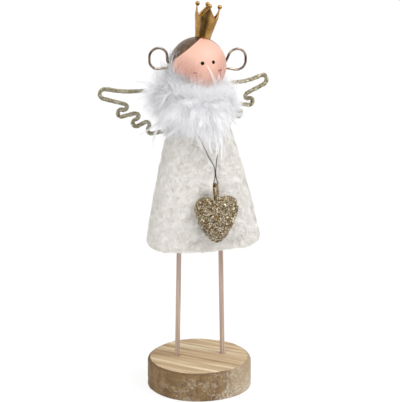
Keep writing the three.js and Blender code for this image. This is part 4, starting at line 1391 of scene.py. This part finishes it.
def plume_spines(count, barbs, seed):
    """A bowed shaft. A barb leaves it at s, 65 degrees off near the root and 25 degrees off at the tip,
    and bends on towards the tip. Returns spines and the way that each barb faces."""
    chance = np.random.default_rng(seed)
    turn, outward, over, flow, size = collar_section(count, chance)
    heading = unit(0.28 * outward - 0.9 * flow * over + 0.3 * chance.normal(size=(count, 3)))
    root = cord(turn) + outward * size * chance.uniform(6, 10, (count, 1))
    length = size * chance.uniform(7, 12, (count, 1))
    sag = 0.2 * chance.normal(size=(count, 3)) - 0.18 * UP
    s = np.linspace(0.04, 1, barbs)
    shaft = bowed(root, length, heading, sag, s)
    s = s[None, :, None]
    ahead = unit(heading[:, None] + 2 * sag[:, None] * s)
    either_side = np.where(np.arange(barbs) % 2, 1, -1)[None, :, None]
    sideways = unit(np.cross(ahead, outward[:, None])) * either_side
    lean = np.radians(65 - 40 * s)
    stray = 0.25 * chance.normal(size=(count, barbs, 3))
    barb = ahead * np.cos(lean) + sideways * np.sin(lean) + stray
    reach = size[:, None] * (3.6 + 3.6 * (1 - s)) * chance.uniform(0.6, 1.25, (count, barbs, 1))
    curl = 0.35 * ahead - 0.12 * UP + 0.22 * chance.normal(size=(count, barbs, 3))
    shaft, barb, curl = (v.reshape(-1, 3) for v in (shaft, barb, curl))
    spines = bowed(shaft, reach.reshape(-1, 1), barb, curl, np.linspace(0, 1, 5))
    spines = keep_out(spines, 0.4 + 0.7 * chance.uniform(size=(count * barbs, 1)))
    return spines, np.repeat(0.8 * outward + 0.6 * UP, barbs, axis=0)


# The slightly greyer root colour is painted shade among the barbs.
down_tones = strand_build(srgb(247, 247, 250), srgb(254, 254, 255), 0.3, 0.2)
down_barbs = finish("down_barbs", down_tones, Roughness=0.85, Sheen_Weight=0.6)
for share, width in enumerate([0.26, 0.22, 0.19]):
    spines, facing = plume_spines(230, 84, 210 + share)
    plume_name = f"collar_plumes_{share + 1}"
    strands(plume_name, spines, facing, width, 120 + share, down_barbs)

# %% [markdown]
# Single fine barbs fill in the rest, in two layers. A dense one lies close along the section, so that
# no bare ring shows between the plumes. A thinner one stands out and waves a little, which softens the
# collar's outline.

# %% Loose barbs
BARB_STEPS = np.linspace(0, 1, 6)


def loose_spines(count, seed, stand, lie):
    """Bowed barbs rooted near the ring. The heading is a mix of standing out from the section and lying
    along it, and the bend is a slow drift with a slight fall."""
    chance = np.random.default_rng(seed)
    turn, outward, over, flow, size = collar_section(count, chance)
    heading = unit(stand * outward - lie * flow * over + 0.35 * chance.normal(size=(count, 3)))
    root = cord(turn) + outward * chance.uniform(8.5, 11.5, (count, 1)) * np.maximum(size, 1)
    length = size**1.5 * 7.5 * np.clip(chance.gamma(8, 1 / 8, (count, 1)), 0.4, 1.8)
    bend = 0.25 * drift(root, 15, 102) + 0.15 * chance.normal(size=(count, 3)) - 0.15 * UP
    spines = bowed(root, length, heading, bend, BARB_STEPS)
    room = 0.5 + 0.8 * chance.uniform(size=(count, 1))
    return keep_out(spines, room), unit(0.8 * outward + 0.6 * UP)


spines, facing = loose_spines(16000, 143, stand=0.3, lie=0.9)
strands("collar_close_barbs", spines, facing, 0.2, 144, down_barbs)
spines, facing = loose_spines(7000, 141, stand=1.0, lie=0.35)
strands("collar_loose_barbs", spines, facing, 0.14, 142, down_barbs)

# %% [markdown]
# A thin veil of barbs stands up over the chin, and others hang down over the front of the dress. One
# function makes both, because only their sense and their measures differ.


# %% Front barbs
def front_spines(count, seed, sense, around, out, off, lean, stray, curl, reach, room):
    """Bowed barbs from the front of the collar. Sense is 1 for those that stand up along the face from
    its top, and -1 for those that hang down over the dress from its underside."""
    chance = np.random.default_rng(seed)
    turn = chance.normal(*around, count)
    away, way = spoke(turn), sense * UP
    root = cord(turn) + away * chance.uniform(*out, (count, 1)) + way * chance.uniform(*off, (count, 1))
    heading = unit(way + lean * away + stray * chance.normal(size=(count, 3)))
    bend = curl * chance.normal(size=(count, 3))
    length = reach * np.clip(chance.gamma(6, 1 / 6, (count, 1)), 0.4, 1.7)
    spines = bowed(root, length, heading, bend, BARB_STEPS)
    gap = 0.4 + room * chance.uniform(size=(count, 1))
    return keep_out(spines, gap), unit(away + 0.5 * UP)


spines, facing = front_spines(
    800, 161, sense=-1, around=(-1.45, 0.24), out=(7, 10), off=(4, 10),
    lean=0.2, stray=0.13, curl=0.08, reach=13, room=1.4,
)
strands("collar_front_fall", spines, facing, 0.16, 162, down_barbs)
spines, facing = front_spines(
    3600, 151, sense=1, around=(-1.5, 0.6), out=(2, 10), off=(3, 11),
    lean=0.3, stray=0.4, curl=0.3, reach=7.5, room=1.2,
)
strands("collar_chin_veil", spines, facing, 0.13, 152, down_barbs)

# %% [markdown]
# A few long tufts stray further: two lie across the face, one reaches out to the right over the wing,
# some hang over the dress, and some stand by the left hair loop and the left wing. They give the
# collar its untidy charm. Each follows a route of given points.

# %% Stray barbs
STRAY_POINTS, STRAY_BARBS, STRAY_WIDTH = 12, 14, 0.19
stray_routes = [
    on_head([-1, 4, 8.5, 14.5, 21, 28], [13.8, 4, -6.2, -17, -27, -36], 1.3)[::-1],
    on_head([28, 28, 27.5, 25.5, 23], [-36, -28, -20, -12, -5], 1.6),
    [(20, -11, 202), (26, -13.5, 202.3), (33, -16, 203), (39, -18, 203), (45, -19.5, 202.3)],
    [(-13, -22, 204), (-18, -20, 200.5), (-22.5, -17, 197), (-26.5, -12.5, 192), (-30, -8, 187.5)],
    [(-1, -21, 196), (-1.5, -23, 190), (-1, -24.5, 184), (0.5, -25, 179)],
    [(4.2, -20, 198), (4.4, -22.4, 191), (4.2, -24, 184), (3.6, -24.8, 177)],
    [
        (11.6, -19.2, 201), (10.4, -20.6, 196.2), (8.8, -21.2, 191.5), (7.2, -21.6, 187.2),
        (5.4, -22.8, 177),
    ],
    [(7.4, -20, 198), (8, -22.4, 191), (8, -24, 184), (7.4, -24.8, 175)],
    [(11, -20, 201), (9.9, -21.6, 196.4), (8.4, -22.2, 191.7), (6.9, -22.6, 187.5), (5.2, -23.6, 178)],
    [(-20, 5, 222), (-24, 4.5, 232), (-26.5, 4, 239), (-27.5, 3.5, 245)],
    [(-17, 4, 224), (-19.5, 3.5, 234), (-20.5, 3, 243), (-20.2, 2.5, 250)],
    [(-28, 0, 222), (-35, -1, 227), (-40, -2, 231), (-44, -3, 234)],
    [(-30, 0, 217), (-36, -1, 221), (-41, -1.5, 224), (-45, -2, 226)],
    [(-27, 4, 197), (-31, 3.5, 190), (-33, 3, 184), (-33.6, 3, 178)],
    [(-29, 2, 198), (-36, 1, 194), (-42, 0, 191), (-47, -1, 189)],
    [(18, -13, 200), (22.5, -15, 195), (25.5, -16, 190), (27, -16.5, 186)],
]


def even_points(route, count):
    """A smooth curve through a route's points, as count points at even steps along it."""
    curve = spaced(smooth_through(route, 10), 0.05)
    return curve[np.linspace(0, len(curve) - 1, count).astype(int)]


chance = np.random.default_rng(131)
tufts = np.stack([even_points(route, STRAY_POINTS) for route in stray_routes])
tufts = np.repeat(tufts, STRAY_BARBS, axis=0)
spread = 0.95 - 0.7 * np.linspace(0, 1, STRAY_POINTS)[None, :, None]
tufts = tufts + chance.normal(size=(len(tufts), 1, 3)) * spread
facing = np.tile([[-0.3, -0.9, 0.4]], (len(tufts), 1))
tufts = keep_out(tufts, 0.6)
strands("collar_strays", tufts, facing, STRAY_WIDTH, 132, down_barbs)
